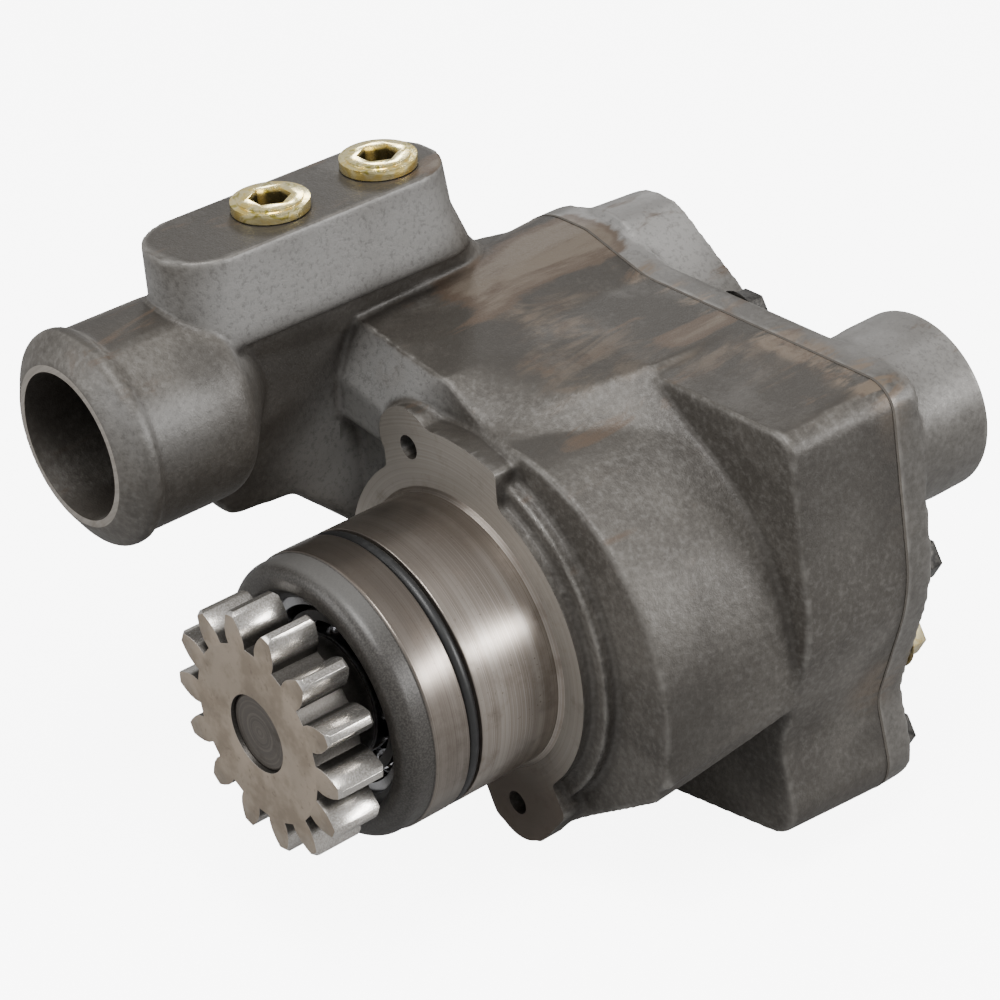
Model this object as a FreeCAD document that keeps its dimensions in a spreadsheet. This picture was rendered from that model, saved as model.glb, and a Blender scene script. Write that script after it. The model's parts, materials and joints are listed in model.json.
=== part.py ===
import FreeCAD, Part
import math
import os
import Sketcher
from FreeCAD import Placement, Rotation, Vector

# Gear-driven centrifugal coolant pump. The origin is on the shaft axis, in the plane of the
# mounting flange's face. +Y runs along the shaft from the drive gear to the rear cover and
# +Z is up. Lengths are millimetres.

os.makedirs("parts", exist_ok=True)
doc = FreeCAD.newDocument("CoolantPump")
sheet = doc.addObject("Spreadsheet::Sheet", "Sizes")

dimensions = {
    "Mounting register and flange": {
        "pilotRadius": 40.0,
        "noseLength": 50.7,
        "castNoseLength": 8.0,
        "noseRounding": 4.5,
        "grooveFront": 31.2,
        "grooveWidth": 4.2,
        "grooveDepth": 3.55,
        "flangeThick": 8.0,
        "flangeRadius": 48.5,
        "padRadius": 58.3,
        "stepRadius": 53.6,
        "boltCircleRadius": 52.3,
        "mountHoleRadius": 3.5,
        "earRadius": 11.6,
    },
    "Hose neck": {
        "neckX": -55.5,
        "neckZ": 67.9,
        "neckReach": 80.1,
        "neckRadius": 28.575,
        "neckBore": 20.5,
        "beadRise": 1.5,
        "beadLength": 8.0,
    },
    "Port block on the inlet passage": {
        "blockWidth": 30.5,
        "blockFront": -47.7,
        "blockRear": 41.3,
        "blockTop": 111.7,
        "blockLedgeZ": 85.5,
        "plugSpacing": 36.0,
        "frontPlugY": -11.3,
        "portThreadRadius": 8.0,
        "portDepth": 16.0,
    },
    "Volute drum": {
        "drumX": 12.5,
        "drumZ": -1.3,
        "drumFrontRadius": 59.8,
        "drumRearRadius": 67.0,
        "roofFrontZ": 69.3,
        "inletRoofZ": 76.0,
    },
    "Rear body and joint face": {
        "bodyFront": 47.0,
        "jointY": 81.0,
        "bodyTopZ": 71.7,
        "bodyRightX": 80.5,
        "bulgeX": 87.5,
        "bodyLeftX": -68.0,
        "lobeZ": -57.5,
        "lobeRadius": 13.0,
        "draftAngle": 4.0,
        "gasketThick": 0.8,
        "plateThick": 9.2,
    },
    "Rear cover passages": {
        "tubeX": 58.0,
        "tubeZ": 46.0,
        "tubeRadius": 25.4,
        "tubeBore": 21.4,
        "tubeLength": 24.0,
        "domeRadius": 46.5,
        "humpX": -37.0,
        "humpZ": 60.0,
        "humpRadius": 19.0,
        "humpTall": 20.0,
        "sideDomeX": 22.0,
        "sideDomeZ": 3.0,
        "sideDomeRadius": 48.0,
        "sideDomeTall": 11.0,
        "coverWall": 5.0,
    },
    "Cover screws and dowels": {
        "screwRadius": 4.0,
        "screwHeadRadius": 6.5,
        "screwHeadTall": 5.3,
        "screwWasherRadius": 8.0,
        "screwWasherThick": 1.5,
        "screwGrip": 14.0,
        "dowelRadius": 3.0,
        "dowelLength": 10.0,
    },
    "Drive gear": {
        "gearTeeth": 14,
        "gearModule": 4.2333,
        "gearTipRadius": 35.2,
        "gearRootRadius": 25.6,
        "gearFront": 69.7,
        "gearWidth": 14.6,
        "gearHubRadius": 17.0,
        "gearPhase": 23.1,
    },
    "Shaft": {
        "gearSeatRadius": 11.2,
        "bearingSeatRadius": 12.5,
        "collarRadius": 14.5,
        "oilJournalRadius": 11.0,
        "pumpJournalRadius": 8.0,
        "shaftRecess": 1.0,
        "shaftRear": 72.0,
    },
    "Front bearing, 25 x 62 x 17": {
        "frontBearingRadius": 31.0,
        "frontBearingWidth": 17.0,
        "frontBearingRear": -27.2,
        "frontBallRadius": 5.75,
        "frontPitchRadius": 21.75,
        "frontBallCount": 7,
        "frontShoulder": 17.9,
        "frontLand": 25.6,
        "snapRingThick": 2.0,
    },
    "Rear bearing, 25 x 52 x 15": {
        "rearBearingRadius": 26.0,
        "rearBearingWidth": 15.0,
        "rearBearingRear": 8.0,
        "rearBallRadius": 3.97,
        "rearPitchRadius": 19.25,
        "rearBallCount": 9,
        "rearShoulder": 15.9,
        "rearLand": 22.6,
    },
    "Seals": {
        "oilSealRadius": 20.0,
        "oilSealFront": 12.0,
        "oilSealWidth": 7.0,
        "waterSealRadius": 18.25,
        "waterSealSeat": 38.0,
        "waterSealDepth": 9.0,
        "sealFlangeRadius": 20.5,
        "faceY": 43.0,
        "seatThick": 5.0,
        "ringSection": 1.765,
    },
    "Impeller": {
        "impellerRadius": 46.0,
        "impellerBackY": 50.0,
        "impellerDiscThick": 4.0,
        "vaneTall": 13.0,
        "vaneThick": 3.2,
        "vaneCount": 6,
        "impellerHubRadius": 20.5,
        "voluteRadius": 57.0,
    },
    "Fits": {
        "runningGap": 0.05,
        "looseGap": 1.0,
        "holeGap": 0.4,
    },
}


class Size:
    """A value together with the sheet expression that it comes from."""

    def __init__(self, value, text):
        self.value = value
        self.text = text

    def join(self, other, sign, value):
        text = other.text if isinstance(other, Size) else repr(float(other))
        return Size(value, f"({self.text} {sign} {text})")

    def __add__(self, other):
        return self.join(other, "+", self.value + number(other))

    def __sub__(self, other):
        return self.join(other, "-", self.value - number(other))

    def __mul__(self, other):
        return self.join(other, "*", self.value * number(other))

    def __truediv__(self, other):
        return self.join(other, "/", self.value / number(other))

    def __radd__(self, other):
        return self + other

    def __rsub__(self, other):
        return self * -1.0 + other

    def __rmul__(self, other):
        return self * other

    def __neg__(self):
        return self * -1.0


def number(item):
    """The plain value of a Size or of a number."""
    return item.value if isinstance(item, Size) else float(item)


def fillSheet():
    """Writes every driving dimension into the sheet and returns them as Size values."""
    sizes = {}
    row = 1
    for heading, group in dimensions.items():
        sheet.set(f"A{row}", heading)
        row += 1
        for name, value in group.items():
            sheet.set(f"A{row}", name)
            sheet.set(f"B{row}", str(value))
            sheet.setAlias(f"B{row}", name)
            sizes[name] = Size(float(value), f"Sizes.{name}")
            row += 1
    doc.recompute()
    return sizes


s = fillSheet()


def bind(item, field, size):
    """Sets a property and, where it comes from the sheet, ties it to the sheet."""
    if isinstance(size, Size):
        item.setExpression(field, size.text)
    elif field.startswith("."):
        item.setExpression(field, repr(float(size)))
    else:
        setattr(item, field, float(size))


def place(item, x=0.0, y=0.0, z=0.0, turn=None):
    """Moves an object to a point given in Size values."""
    base = Vector(number(x), number(y), number(z))
    item.Placement = Placement(base, turn if turn else Rotation())
    for field, size in ((".Placement.Base.x", x), (".Placement.Base.y", y), (".Placement.Base.z", z)):
        if isinstance(size, Size):
            item.setExpression(field, size.text)
    return item


alongY = Rotation(Vector(1, 0, 0), -90)


def rod(name, radius, start, end, x=0.0, z=0.0):
    """A cylinder along Y."""
    item = doc.addObject("Part::Cylinder", name)
    bind(item, "Radius", radius)
    bind(item, "Height", end - start)
    return place(item, x, start, z, alongY)


def taper(name, frontRadius, rearRadius, start, end, x=0.0, z=0.0):
    """A cone along Y."""
    item = doc.addObject("Part::Cone", name)
    bind(item, "Radius1", frontRadius)
    bind(item, "Radius2", rearRadius)
    bind(item, "Height", end - start)
    return place(item, x, start, z, alongY)


def upright(name, radius, bottom, tall, x=0.0, y=0.0, sides=None):
    """A cylinder, or a prism with flat sides, along Z."""
    item = doc.addObject("Part::Prism" if sides else "Part::Cylinder", name)
    if sides:
        item.Polygon = sides
    bind(item, "Circumradius" if sides else "Radius", radius)
    bind(item, "Height", tall)
    return place(item, x, y, bottom)


def ball(name, radius, x, y, z):
    item = doc.addObject("Part::Sphere", name)
    bind(item, "Radius", radius)
    return place(item, x, y, z)


def ringTorus(name, pitchRadius, radius, y, x=0.0, z=0.0):
    """A torus around Y."""
    item = doc.addObject("Part::Torus", name)
    bind(item, "Radius1", pitchRadius)
    bind(item, "Radius2", radius)
    return place(item, x, y, z, alongY)


def cut(name, base, tool):
    item = doc.addObject("Part::Cut", name)
    item.Base = base
    item.Tool = tool
    return item


def fuse(name, *pieces):
    item = doc.addObject("Part::MultiFuse", name)
    item.Shapes = list(pieces)
    item.Refine = True
    return item


def common(name, base, tool):
    item = doc.addObject("Part::Common", name)
    item.Base = base
    item.Tool = tool
    return item


def group(name, pieces):
    """Separate solids that share one node."""
    item = doc.addObject("Part::Compound", name)
    item.Links = list(pieces)
    return item


def originPlane(body, role):
    return next(item for item in body.Origin.OriginFeatures if item.Role == role)


def roundedLoop(sketch, corners):
    """Draws a closed loop of lines whose corners are (x, y, radius), each tied to the sheet."""
    count = len(corners)
    spots = [Vector(number(x), number(y), 0) for x, y, radius in corners]
    radii = [number(radius) for x, y, radius in corners]
    starts = []
    ends = []
    centres = []
    for index, spot in enumerate(spots):
        before = (spots[index - 1] - spot).normalize()
        after = (spots[(index + 1) % count] - spot).normalize()
        half = before.getAngle(after) / 2
        run = radii[index] / math.tan(half) if radii[index] else 0.0
        starts.append(spot + before * run)
        ends.append(spot + after * run)
        middle = (before + after).normalize() if radii[index] else Vector()
        centres.append(spot + middle * (radii[index] / math.sin(half)))
    lines = []
    for index in range(count):
        line = Part.LineSegment(ends[index], starts[(index + 1) % count])
        lines.append(sketch.addGeometry(line, False))
    for index, (x, y, radius) in enumerate(corners):
        arriving = lines[index - 1]
        leaving = lines[index]
        if radii[index]:
            addRoundCorner(sketch, arriving, leaving, spots[index], starts[index], ends[index],
                           centres[index], radii[index], corners[index])
        else:
            sketch.addConstraint(Sketcher.Constraint("Coincident", arriving, 2, leaving, 1))
            pinPoint(sketch, leaving, 1, x, y)


def pinPoint(sketch, geometry, position, x, y):
    """Holds a sketch point at a distance from the origin along each axis."""
    for kind, size in (("DistanceX", x), ("DistanceY", y)):
        constraint = Sketcher.Constraint(kind, -1, 1, geometry, position, number(size))
        index = sketch.addConstraint(constraint)
        if isinstance(size, Size):
            sketch.setExpression(f"Constraints[{index}]", size.text)


def addRoundCorner(sketch, arriving, leaving, spot, start, end, centre, radius, corner):
    """Rounds a corner with an arc, whose theoretical corner point carries the position."""
    first = start - centre
    last = end - centre
    turnsLeft = first.cross(last).z > 0
    low, high = (first, last) if turnsLeft else (last, first)
    lowAngle = math.atan2(low.y, low.x)
    highAngle = math.atan2(high.y, high.x)
    if highAngle < lowAngle:
        highAngle += 2 * math.pi
    circle = Part.Circle(centre, Vector(0, 0, 1), radius)
    arc = sketch.addGeometry(Part.ArcOfCircle(circle, lowAngle, highAngle), False)
    point = sketch.addGeometry(Part.Point(spot), True)
    arriveEnd, leaveEnd = (1, 2) if turnsLeft else (2, 1)
    sketch.addConstraint([
        Sketcher.Constraint("Tangent", arriving, 2, arc, arriveEnd),
        Sketcher.Constraint("Tangent", leaving, 1, arc, leaveEnd),
        Sketcher.Constraint("PointOnObject", point, 1, arriving),
        Sketcher.Constraint("PointOnObject", point, 1, leaving),
    ])
    index = sketch.addConstraint(Sketcher.Constraint("Radius", arc, radius))
    if isinstance(corner[2], Size):
        sketch.setExpression(f"Constraints[{index}]", corner[2].text)
    pinPoint(sketch, point, 1, corner[0], corner[1])


def newSketch(body, name, role, offset=0.0):
    """A sketch on one of the body's own origin planes, moved along the plane's normal."""
    sketch = body.newObject("Sketcher::SketchObject", name)
    sketch.AttachmentSupport = [(originPlane(body, role), "")]
    sketch.MapMode = "FlatFace"
    sketch.AttachmentOffset = Placement(Vector(0, 0, number(offset)), Rotation())
    if isinstance(offset, Size):
        sketch.setExpression(".AttachmentOffset.Base.z", offset.text)
    return sketch


def turned(name, corners, x=0.0, z=0.0):
    """A body turned about an axis along Y; corners are (radius, y) or (radius, y, rounding)."""
    body = doc.addObject("PartDesign::Body", name)
    sketch = newSketch(body, name + "Profile", "XY_Plane")
    roundedLoop(sketch, [tuple(corner) + (0.0,) * (3 - len(corner)) for corner in corners])
    revolution = body.newObject("PartDesign::Revolution", name + "Turn")
    revolution.Profile = sketch
    revolution.ReferenceAxis = (sketch, ["V_Axis"])
    revolution.Angle = 360.0
    return place(body, x, 0.0, z)


def slab(name, corners, start, end, draft=None):
    """A prism along Y whose outline is rounded corners (x, z, radius); a draft narrows its front."""
    body = doc.addObject("PartDesign::Body", name)
    face = end if draft is not None else start
    sketch = newSketch(body, name + "Outline", "XZ_Plane", -face)
    roundedLoop(sketch, corners)
    pad = body.newObject("PartDesign::Pad", name + "Pad")
    pad.Profile = sketch
    bind(pad, "Length", end - start)
    pad.Reversed = draft is None
    if draft is not None:
        bind(pad, "TaperAngle", -draft)
    return body


def loftY(name, sections):
    """A straight-sided loft through loops of plain corners, each at its own Y."""
    body = doc.addObject("PartDesign::Body", name)
    sketches = []
    for index, (y, corners) in enumerate(sections):
        sketch = newSketch(body, f"{name}Section{index}", "XZ_Plane", -y)
        roundedLoop(sketch, [(x, z, 0.0) for x, z in corners])
        sketches.append(sketch)
    loft = body.newObject("PartDesign::AdditiveLoft", name + "Loft")
    loft.Profile = sketches[0]
    loft.Sections = sketches[1:]
    loft.Ruled = True
    return body


# ---------------------------------------------------------------- shared positions

coverFront = s["jointY"] + s["gasketThick"]
coverRear = coverFront + s["plateThick"]
tubeEnd = coverRear + s["tubeLength"]
humpEnd = coverRear + s["humpTall"]
sideDomeEnd = coverRear + s["sideDomeTall"]
noseFront = -s["noseLength"]
frontBearingFront = s["frontBearingRear"] - s["frontBearingWidth"]
rearBearingFront = s["rearBearingRear"] - s["rearBearingWidth"]
snapFront = frontBearingFront - s["snapRingThick"]
oilSealRear = s["oilSealFront"] + s["oilSealWidth"]
sealRecess = s["waterSealSeat"] - s["waterSealDepth"]
impellerDiscRear = s["impellerBackY"] + s["impellerDiscThick"]
impellerCavityFront = s["impellerBackY"] - s["looseGap"]

# The two mounting holes are opposite each other on the bolt circle.
mountAngle = math.radians(109.9)
mountSpots = [(s["boltCircleRadius"] * (side * math.cos(mountAngle)),
               s["boltCircleRadius"] * (side * math.sin(mountAngle))) for side in (1, -1)]

# Cover screws follow the edge of the joint face.
screwEdge = 9.0
screwSpots = [
    (14.0, s["bodyTopZ"] - screwEdge + 1.5),
    (s["bulgeX"] - screwEdge - 1.0, 13.0),
    (s["bulgeX"] - screwEdge - 6.5, -14.0),
    (s["bodyRightX"] - 12.0, s["lobeZ"] + 10.0),
    (16.0, -59.5),
    (-38.0, -50.5),
    (s["bodyLeftX"] + screwEdge, 0.0),
    (s["bodyLeftX"] + screwEdge, 38.0),
]
dowelSpots = [(42.0, -55.5), (s["bodyLeftX"] + screwEdge, 19.0)]


def jointOutline():
    """The outline that the rear body, the gasket and the cover plate share."""
    return [
        (s["bodyLeftX"], s["bodyTopZ"] + 6.5, 22.0),
        (-36.0, s["bodyTopZ"] + 6.5, 14.0),
        (-12.0, s["bodyTopZ"], 12.0),
        (s["bodyRightX"], s["bodyTopZ"], 9.0),
        (s["bulgeX"], 12.0, 60.0),
        (75.5, -27.0, 12.0),
        (s["bodyRightX"] + 2.0, s["lobeZ"], s["lobeRadius"]),
        (2.0, s["lobeZ"] - 13.0, 30.0),
        (-52.0, -60.0, 34.0),
        (s["bodyLeftX"], -16.0, 26.0),
    ]


# ---------------------------------------------------------------- pump housing

def mountingNose():
    """Register, groove band and cast nose in front of the flange."""
    radius = s["pilotRadius"]
    band = noseFront + s["castNoseLength"]
    floor = radius - s["grooveDepth"]
    front = -s["grooveFront"]
    rear = front + s["grooveWidth"]
    return turned("NoseStock", [
        (0.0, noseFront),
        (radius - 0.6, noseFront, s["noseRounding"]),
        (radius - 0.6, band),
        (radius, band + 0.6),
        (radius, front),
        (floor, front),
        (floor, rear),
        (radius, rear),
        (radius, s["flangeThick"]),
        (0.0, s["flangeThick"]),
    ])


def flangePlate():
    """Round flange with an ear at each hole, a raised sector at the top and a step on its right."""
    disc = rod("FlangeDisc", s["flangeRadius"], Size(0.0, "0"), s["flangeThick"])
    pieces = [disc]
    for index, (x, z) in enumerate(mountSpots):
        pieces.append(rod(f"FlangeEar{index}", s["earRadius"], Size(0.0, "0"), s["flangeThick"], x, z))
    upper = slab("UpperEarWeb", [(-28.6, 38.0, 0), (-28.6, 52.0, 3), (-9.0, 58.0, 0), (18.0, 40.0, 0)],
                 Size(0.0, "0"), s["flangeThick"])
    lower = slab("LowerEarWeb", [(3.0, -47.0, 0), (8.5, -58.5, 4), (26.5, -58.5, 5), (38.0, -44.0, 3),
                                 (30.0, -30.0, 0)], Size(0.0, "0"), s["flangeThick"])
    sectorDisc = rod("PadDisc", s["padRadius"], Size(0.0, "0"), s["flangeThick"])
    sectorCut = slab("PadWindow", [(-19.0, 30.0, 0), (-19.0, 70.0, 0), (18.4, 70.0, 0), (18.4, 46.0, 4),
                                   (22.0, 40.0, 0)], Size(0.0, "0"), s["flangeThick"])
    stepFront = s["flangeThick"] - 4.6
    stepDisc = rod("StepDisc", s["stepRadius"], stepFront, s["flangeThick"])
    stepCut = slab("StepWindow", [(17.0, 30.0, 0), (17.0, 60.0, 0), (60.0, 60.0, 0), (60.0, -60.0, 0),
                                  (28.0, -60.0, 0), (28.0, -30.0, 0)], stepFront, s["flangeThick"])
    pieces += [upper, lower, common("FlangePad", sectorDisc, sectorCut), common("FlangeStep", stepDisc, stepCut)]
    return fuse("FlangePlate", *pieces)


def voluteDrum():
    """Tapered drum, flat on its lower right side, where a corner stands proud of the circle."""
    rear = s["bodyFront"] + 3.0
    drum = taper("DrumCone", s["drumFrontRadius"], s["drumRearRadius"], s["flangeThick"] - 0.5, rear,
                 s["drumX"], s["drumZ"])
    corner = loftY("DrumCorner", [
        (s["flangeThick"] - 0.5, [(20.0, 10.0), (70.5, 10.0), (72.2, -6.0), (71.0, -22.0), (34.0, -44.0)]),
        (rear, [(20.0, 20.0), (75.6, 20.0), (79.0, 6.0), (79.3, -8.0), (44.0, -32.0)]),
    ])
    chop = doc.addObject("Part::Box", "DrumFlat")
    chop.Length = 200.0
    chop.Width = 200.0
    chop.Height = 60.0
    normal = Vector(0.554, 0.178, -0.813)
    turn = Rotation(Vector(0, 0, 1), normal)
    middle = Vector(54.0, 8.0, -37.0) - turn.multVec(Vector(100, 100, 0))
    chop.Placement = Placement(middle, turn)
    return cut("VoluteDrum", fuse("DrumStock", drum, corner), chop)


def inletRoof():
    """Sloping roof between the inlet passage, the drum and the joint face."""
    high = s["inletRoofZ"]
    low = s["roofFrontZ"]
    top = s["bodyTopZ"]
    front = s["flangeThick"]
    wedge = loftY("FrontWedge", [
        (Size(0.5, "0.5"), [(-51.5, 48.0), (-51.5, 60.6), (-28.5, 55.4), (-18.0, 44.0)]),
        (front, [(-52.0, 40.0), (-52.0, high), (-10.6, low), (-6.0, 40.0)]),
    ])
    roof = loftY("Roof", [
        (front, [(-62.0, 20.0), (-62.0, high), (-36.0, high - 3.4), (-10.6, low), (4.0, 60.5), (20.0, 57.6),
                 (20.0, 20.0)]),
        (s["bodyFront"] + 1.0, [(-64.0, 20.0), (-64.0, top + 4.0), (-36.0, top + 4.3), (-12.0, top),
                                (26.5, top - 0.4), (46.5, 56.2), (46.5, 20.0)]),
        (s["jointY"] - 0.5, [(-60.0, 20.0), (-57.0, top + 1.0), (-38.0, top + 6.0), (-12.0, top - 0.2),
                             (26.5, top - 0.2), (58.0, top - 0.2), (58.0, 20.0)]),
    ])
    return fuse("InletRoof", wedge, roof)


def leftWall():
    """Wall below the inlet passage, between the flange and the rear body."""
    return loftY("LeftWall", [
        (s["flangeThick"] - 1.0, [(-60.0, 62.0), (-20.0, 62.0), (-10.0, -40.0), (-40.0, -26.0), (-58.0, 8.0)]),
        (s["bodyFront"] + 2.0, [(-64.0, 62.0), (-20.0, 62.0), (-10.0, -52.0), (-48.0, -38.0), (-64.5, 4.0)]),
    ])


def inletPassage():
    """Hose neck, its bead and the narrower channel behind it."""
    x = s["neckX"]
    z = s["neckZ"]
    nose = -s["neckReach"]
    crest = s["neckRadius"] + s["beadRise"]
    radius = s["neckRadius"]
    neck = turned("HoseNeck", [
        (0.0, nose),
        (s["neckBore"] + 2.4, nose, 1.5),
        (crest, nose + 4.8, 3.0),
        (crest, nose + s["beadLength"], 1.2),
        (radius, nose + s["beadLength"] + 1.6, 2.0),
        (radius, -41.0, 8.0),
        (9.0, -24.0),
        (0.0, -24.0),
    ], x, z)
    channel = loftY("InletChannel", [
        (Size(-43.0, "-43"), [(-67.0, 46.0), (-50.0, 42.0), (-45.0, 54.0), (-47.0, 84.0), (-67.0, 88.0), (-78.0, 68.0)]),
        (s["flangeThick"], [(-68.0, 22.0), (-50.0, 22.0), (-48.0, 60.0), (-48.0, 84.0), (-66.0, 86.0), (-72.0, 60.0)]),
        (s["bodyFront"], [(-64.0, 16.0), (-46.0, 16.0), (-45.0, 50.0), (-45.0, 72.0), (-62.0, 72.0), (-64.5, 50.0)]),
    ])
    return fuse("InletPassage", neck, channel)


def portBlock():
    """Long rounded block that overhangs the inlet channel; its rear end flares down to the roof."""
    left = s["neckX"] + 2.1 - s["blockWidth"] / 2
    right = left + s["blockWidth"]
    body = doc.addObject("PartDesign::Body", "PortBlock")
    top = s["blockTop"]
    ledge = s["blockLedgeZ"]
    sections = [
        (s["bodyTopZ"] - 2.0, -10.0, 22.0),
        (ledge - 4.0, -7.5, 12.0),
        (ledge, 0.0, 8.0),
        (top - 14.0, 0.0, 2.6),
        (top, 0.0, 0.6),
    ]
    sketches = []
    for index, (z, inset, spread) in enumerate(sections):
        sketch = newSketch(body, f"PortBlockSection{index}", "XY_Plane", z)
        front = s["blockFront"] - 1.5
        rear = s["blockRear"] + spread
        side = right + inset
        corner = s["blockWidth"] / 2 - 0.4 + inset / 2
        roundedLoop(sketch, [(left, front, corner), (left, rear, corner),
                             (side, rear, corner), (side, front, corner)])
        sketches.append(sketch)
    loft = body.newObject("PartDesign::AdditiveLoft", "PortBlockLoft")
    loft.Profile = sketches[0]
    loft.Sections = sketches[1:]
    loft.Ruled = True
    return body


def rearBody():
    return slab("RearBody", jointOutline(), s["bodyFront"], s["jointY"], s["draftAngle"])


def neckGusset():
    """Rib under the hose neck, back to the wall."""
    return loftY("NeckGusset", [
        (Size(-42.0, "-42"), [(-60.0, 37.0), (-52.0, 37.0), (-52.0, 46.0), (-62.0, 46.0)]),
        (Size(-36.0, "-36"), [(-60.0, 29.0), (-51.0, 29.0), (-50.5, 50.0), (-64.0, 50.0)]),
        (Size(-15.0, "-15"), [(-62.0, 27.0), (-50.5, 27.0), (-50.0, 55.0), (-68.0, 55.0)]),
        (s["flangeThick"], [(-64.0, 6.0), (-49.0, 6.0), (-49.0, 60.0), (-71.0, 60.0)]),
    ])


def housingBores():
    """Stepped bore for bearings and seals, from the nose to the impeller."""
    gap = s["holeGap"]
    return turned("HousingBore", [
        (0.0, noseFront - 1.0),
        (s["frontBearingRadius"] + 1.5, noseFront - 1.0),
        (s["frontBearingRadius"] + 1.5, noseFront),
        (s["frontBearingRadius"], noseFront + 1.5),
        (s["frontBearingRadius"], snapFront),
        (s["frontBearingRadius"] + 2.0, snapFront),
        (s["frontBearingRadius"] + 2.0, frontBearingFront),
        (s["frontBearingRadius"], frontBearingFront),
        (s["frontBearingRadius"], s["frontBearingRear"]),
        (s["rearBearingRadius"], s["frontBearingRear"]),
        (s["rearBearingRadius"], s["rearBearingRear"]),
        (s["oilSealRadius"], s["rearBearingRear"]),
        (s["oilSealRadius"], oilSealRear),
        (s["waterSealRadius"] - 2.0, oilSealRear),
        (s["waterSealRadius"] - 2.0, sealRecess - gap),
        (s["waterSealRadius"], sealRecess - gap),
        (s["waterSealRadius"], s["waterSealSeat"]),
        (s["impellerHubRadius"] + 3.0, s["waterSealSeat"]),
        (s["impellerHubRadius"] + 3.0, impellerCavityFront),
        (0.0, impellerCavityFront),
    ])


def screwHoles(name, radius, start, end, spots):
    return [rod(f"{name}{index}", radius, start, end, x, z) for index, (x, z) in enumerate(spots)]


def plugSpots():
    return [s["frontPlugY"], s["frontPlugY"] + s["plugSpacing"]]


def housingCores():
    """Everything that is cut out of the housing."""
    zero = Size(0.0, "0")
    tools = [
        housingBores(),
        rod("VoluteCore", s["voluteRadius"], impellerCavityFront, s["jointY"] + 1.0, s["drumX"] - 8.0, s["drumZ"]),
        rod("InletCore", s["neckBore"], -s["neckReach"] - 1.0, Size(-37.0, "-37"), s["neckX"], s["neckZ"]),
        loftY("ChannelCore", [
            (Size(-40.0, "-40"), [(-66.0, 56.0), (-52.0, 54.0), (-51.0, 78.0), (-64.0, 80.0)]),
            (s["flangeThick"], [(-64.0, 34.0), (-54.0, 34.0), (-52.5, 76.0), (-62.0, 78.0)]),
            (s["bodyFront"] + 8.0, [(-58.5, 34.0), (-51.0, 34.0), (-51.0, 66.0), (-58.5, 66.0)]),
        ]),
        slab("InletTurn", [(-59.0, 47.0, 6), (-59.0, 68.0, 8), (-24.0, 66.0, 5), (-24.0, 54.0, 4)],
             s["bodyFront"] + 6.0, s["jointY"] + 1.0),
        upright("WeepHole", Size(3.0, "3"), Size(-90.0, "-90"), Size(88.0, "88"), 0.0, oilSealRear + 4.5),
    ]
    tools += screwHoles("MountHole", s["mountHoleRadius"], zero - 1.0, s["flangeThick"] + 18.0, mountSpots)
    tools += screwHoles("ScrewThread", s["screwRadius"], s["jointY"] - s["screwGrip"] - 3.0,
                        s["jointY"] + 1.0, screwSpots)
    tools += screwHoles("DowelSeat", s["dowelRadius"], s["jointY"] - s["dowelLength"] / 2,
                        s["jointY"] + 1.0, dowelSpots)
    for index, y in enumerate(plugSpots()):
        x = s["neckX"] + 2.1
        tools.append(upright(f"PortThread{index}", s["portThreadRadius"], s["blockTop"] - s["portDepth"],
                             s["portDepth"] + 1.0, x, y))
        tools.append(upright(f"PortSeat{index}", s["portThreadRadius"] + 1.8, s["blockTop"] - 1.1,
                             Size(2.0, "2"), x, y))
        tools.append(upright(f"PortWay{index}", Size(3.0, "3"), s["neckZ"], s["blockTop"] - s["neckZ"], x, y))
    return fuse("HousingCores", *tools)


def pumpHousing():
    stock = fuse("HousingStock", mountingNose(), flangePlate(), voluteDrum(), inletRoof(), leftWall(),
                 inletPassage(), portBlock(), rearBody(), neckGusset())
    return cut("pump_housing", stock, housingCores())


# ---------------------------------------------------------------- rear cover and its fixings

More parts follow.
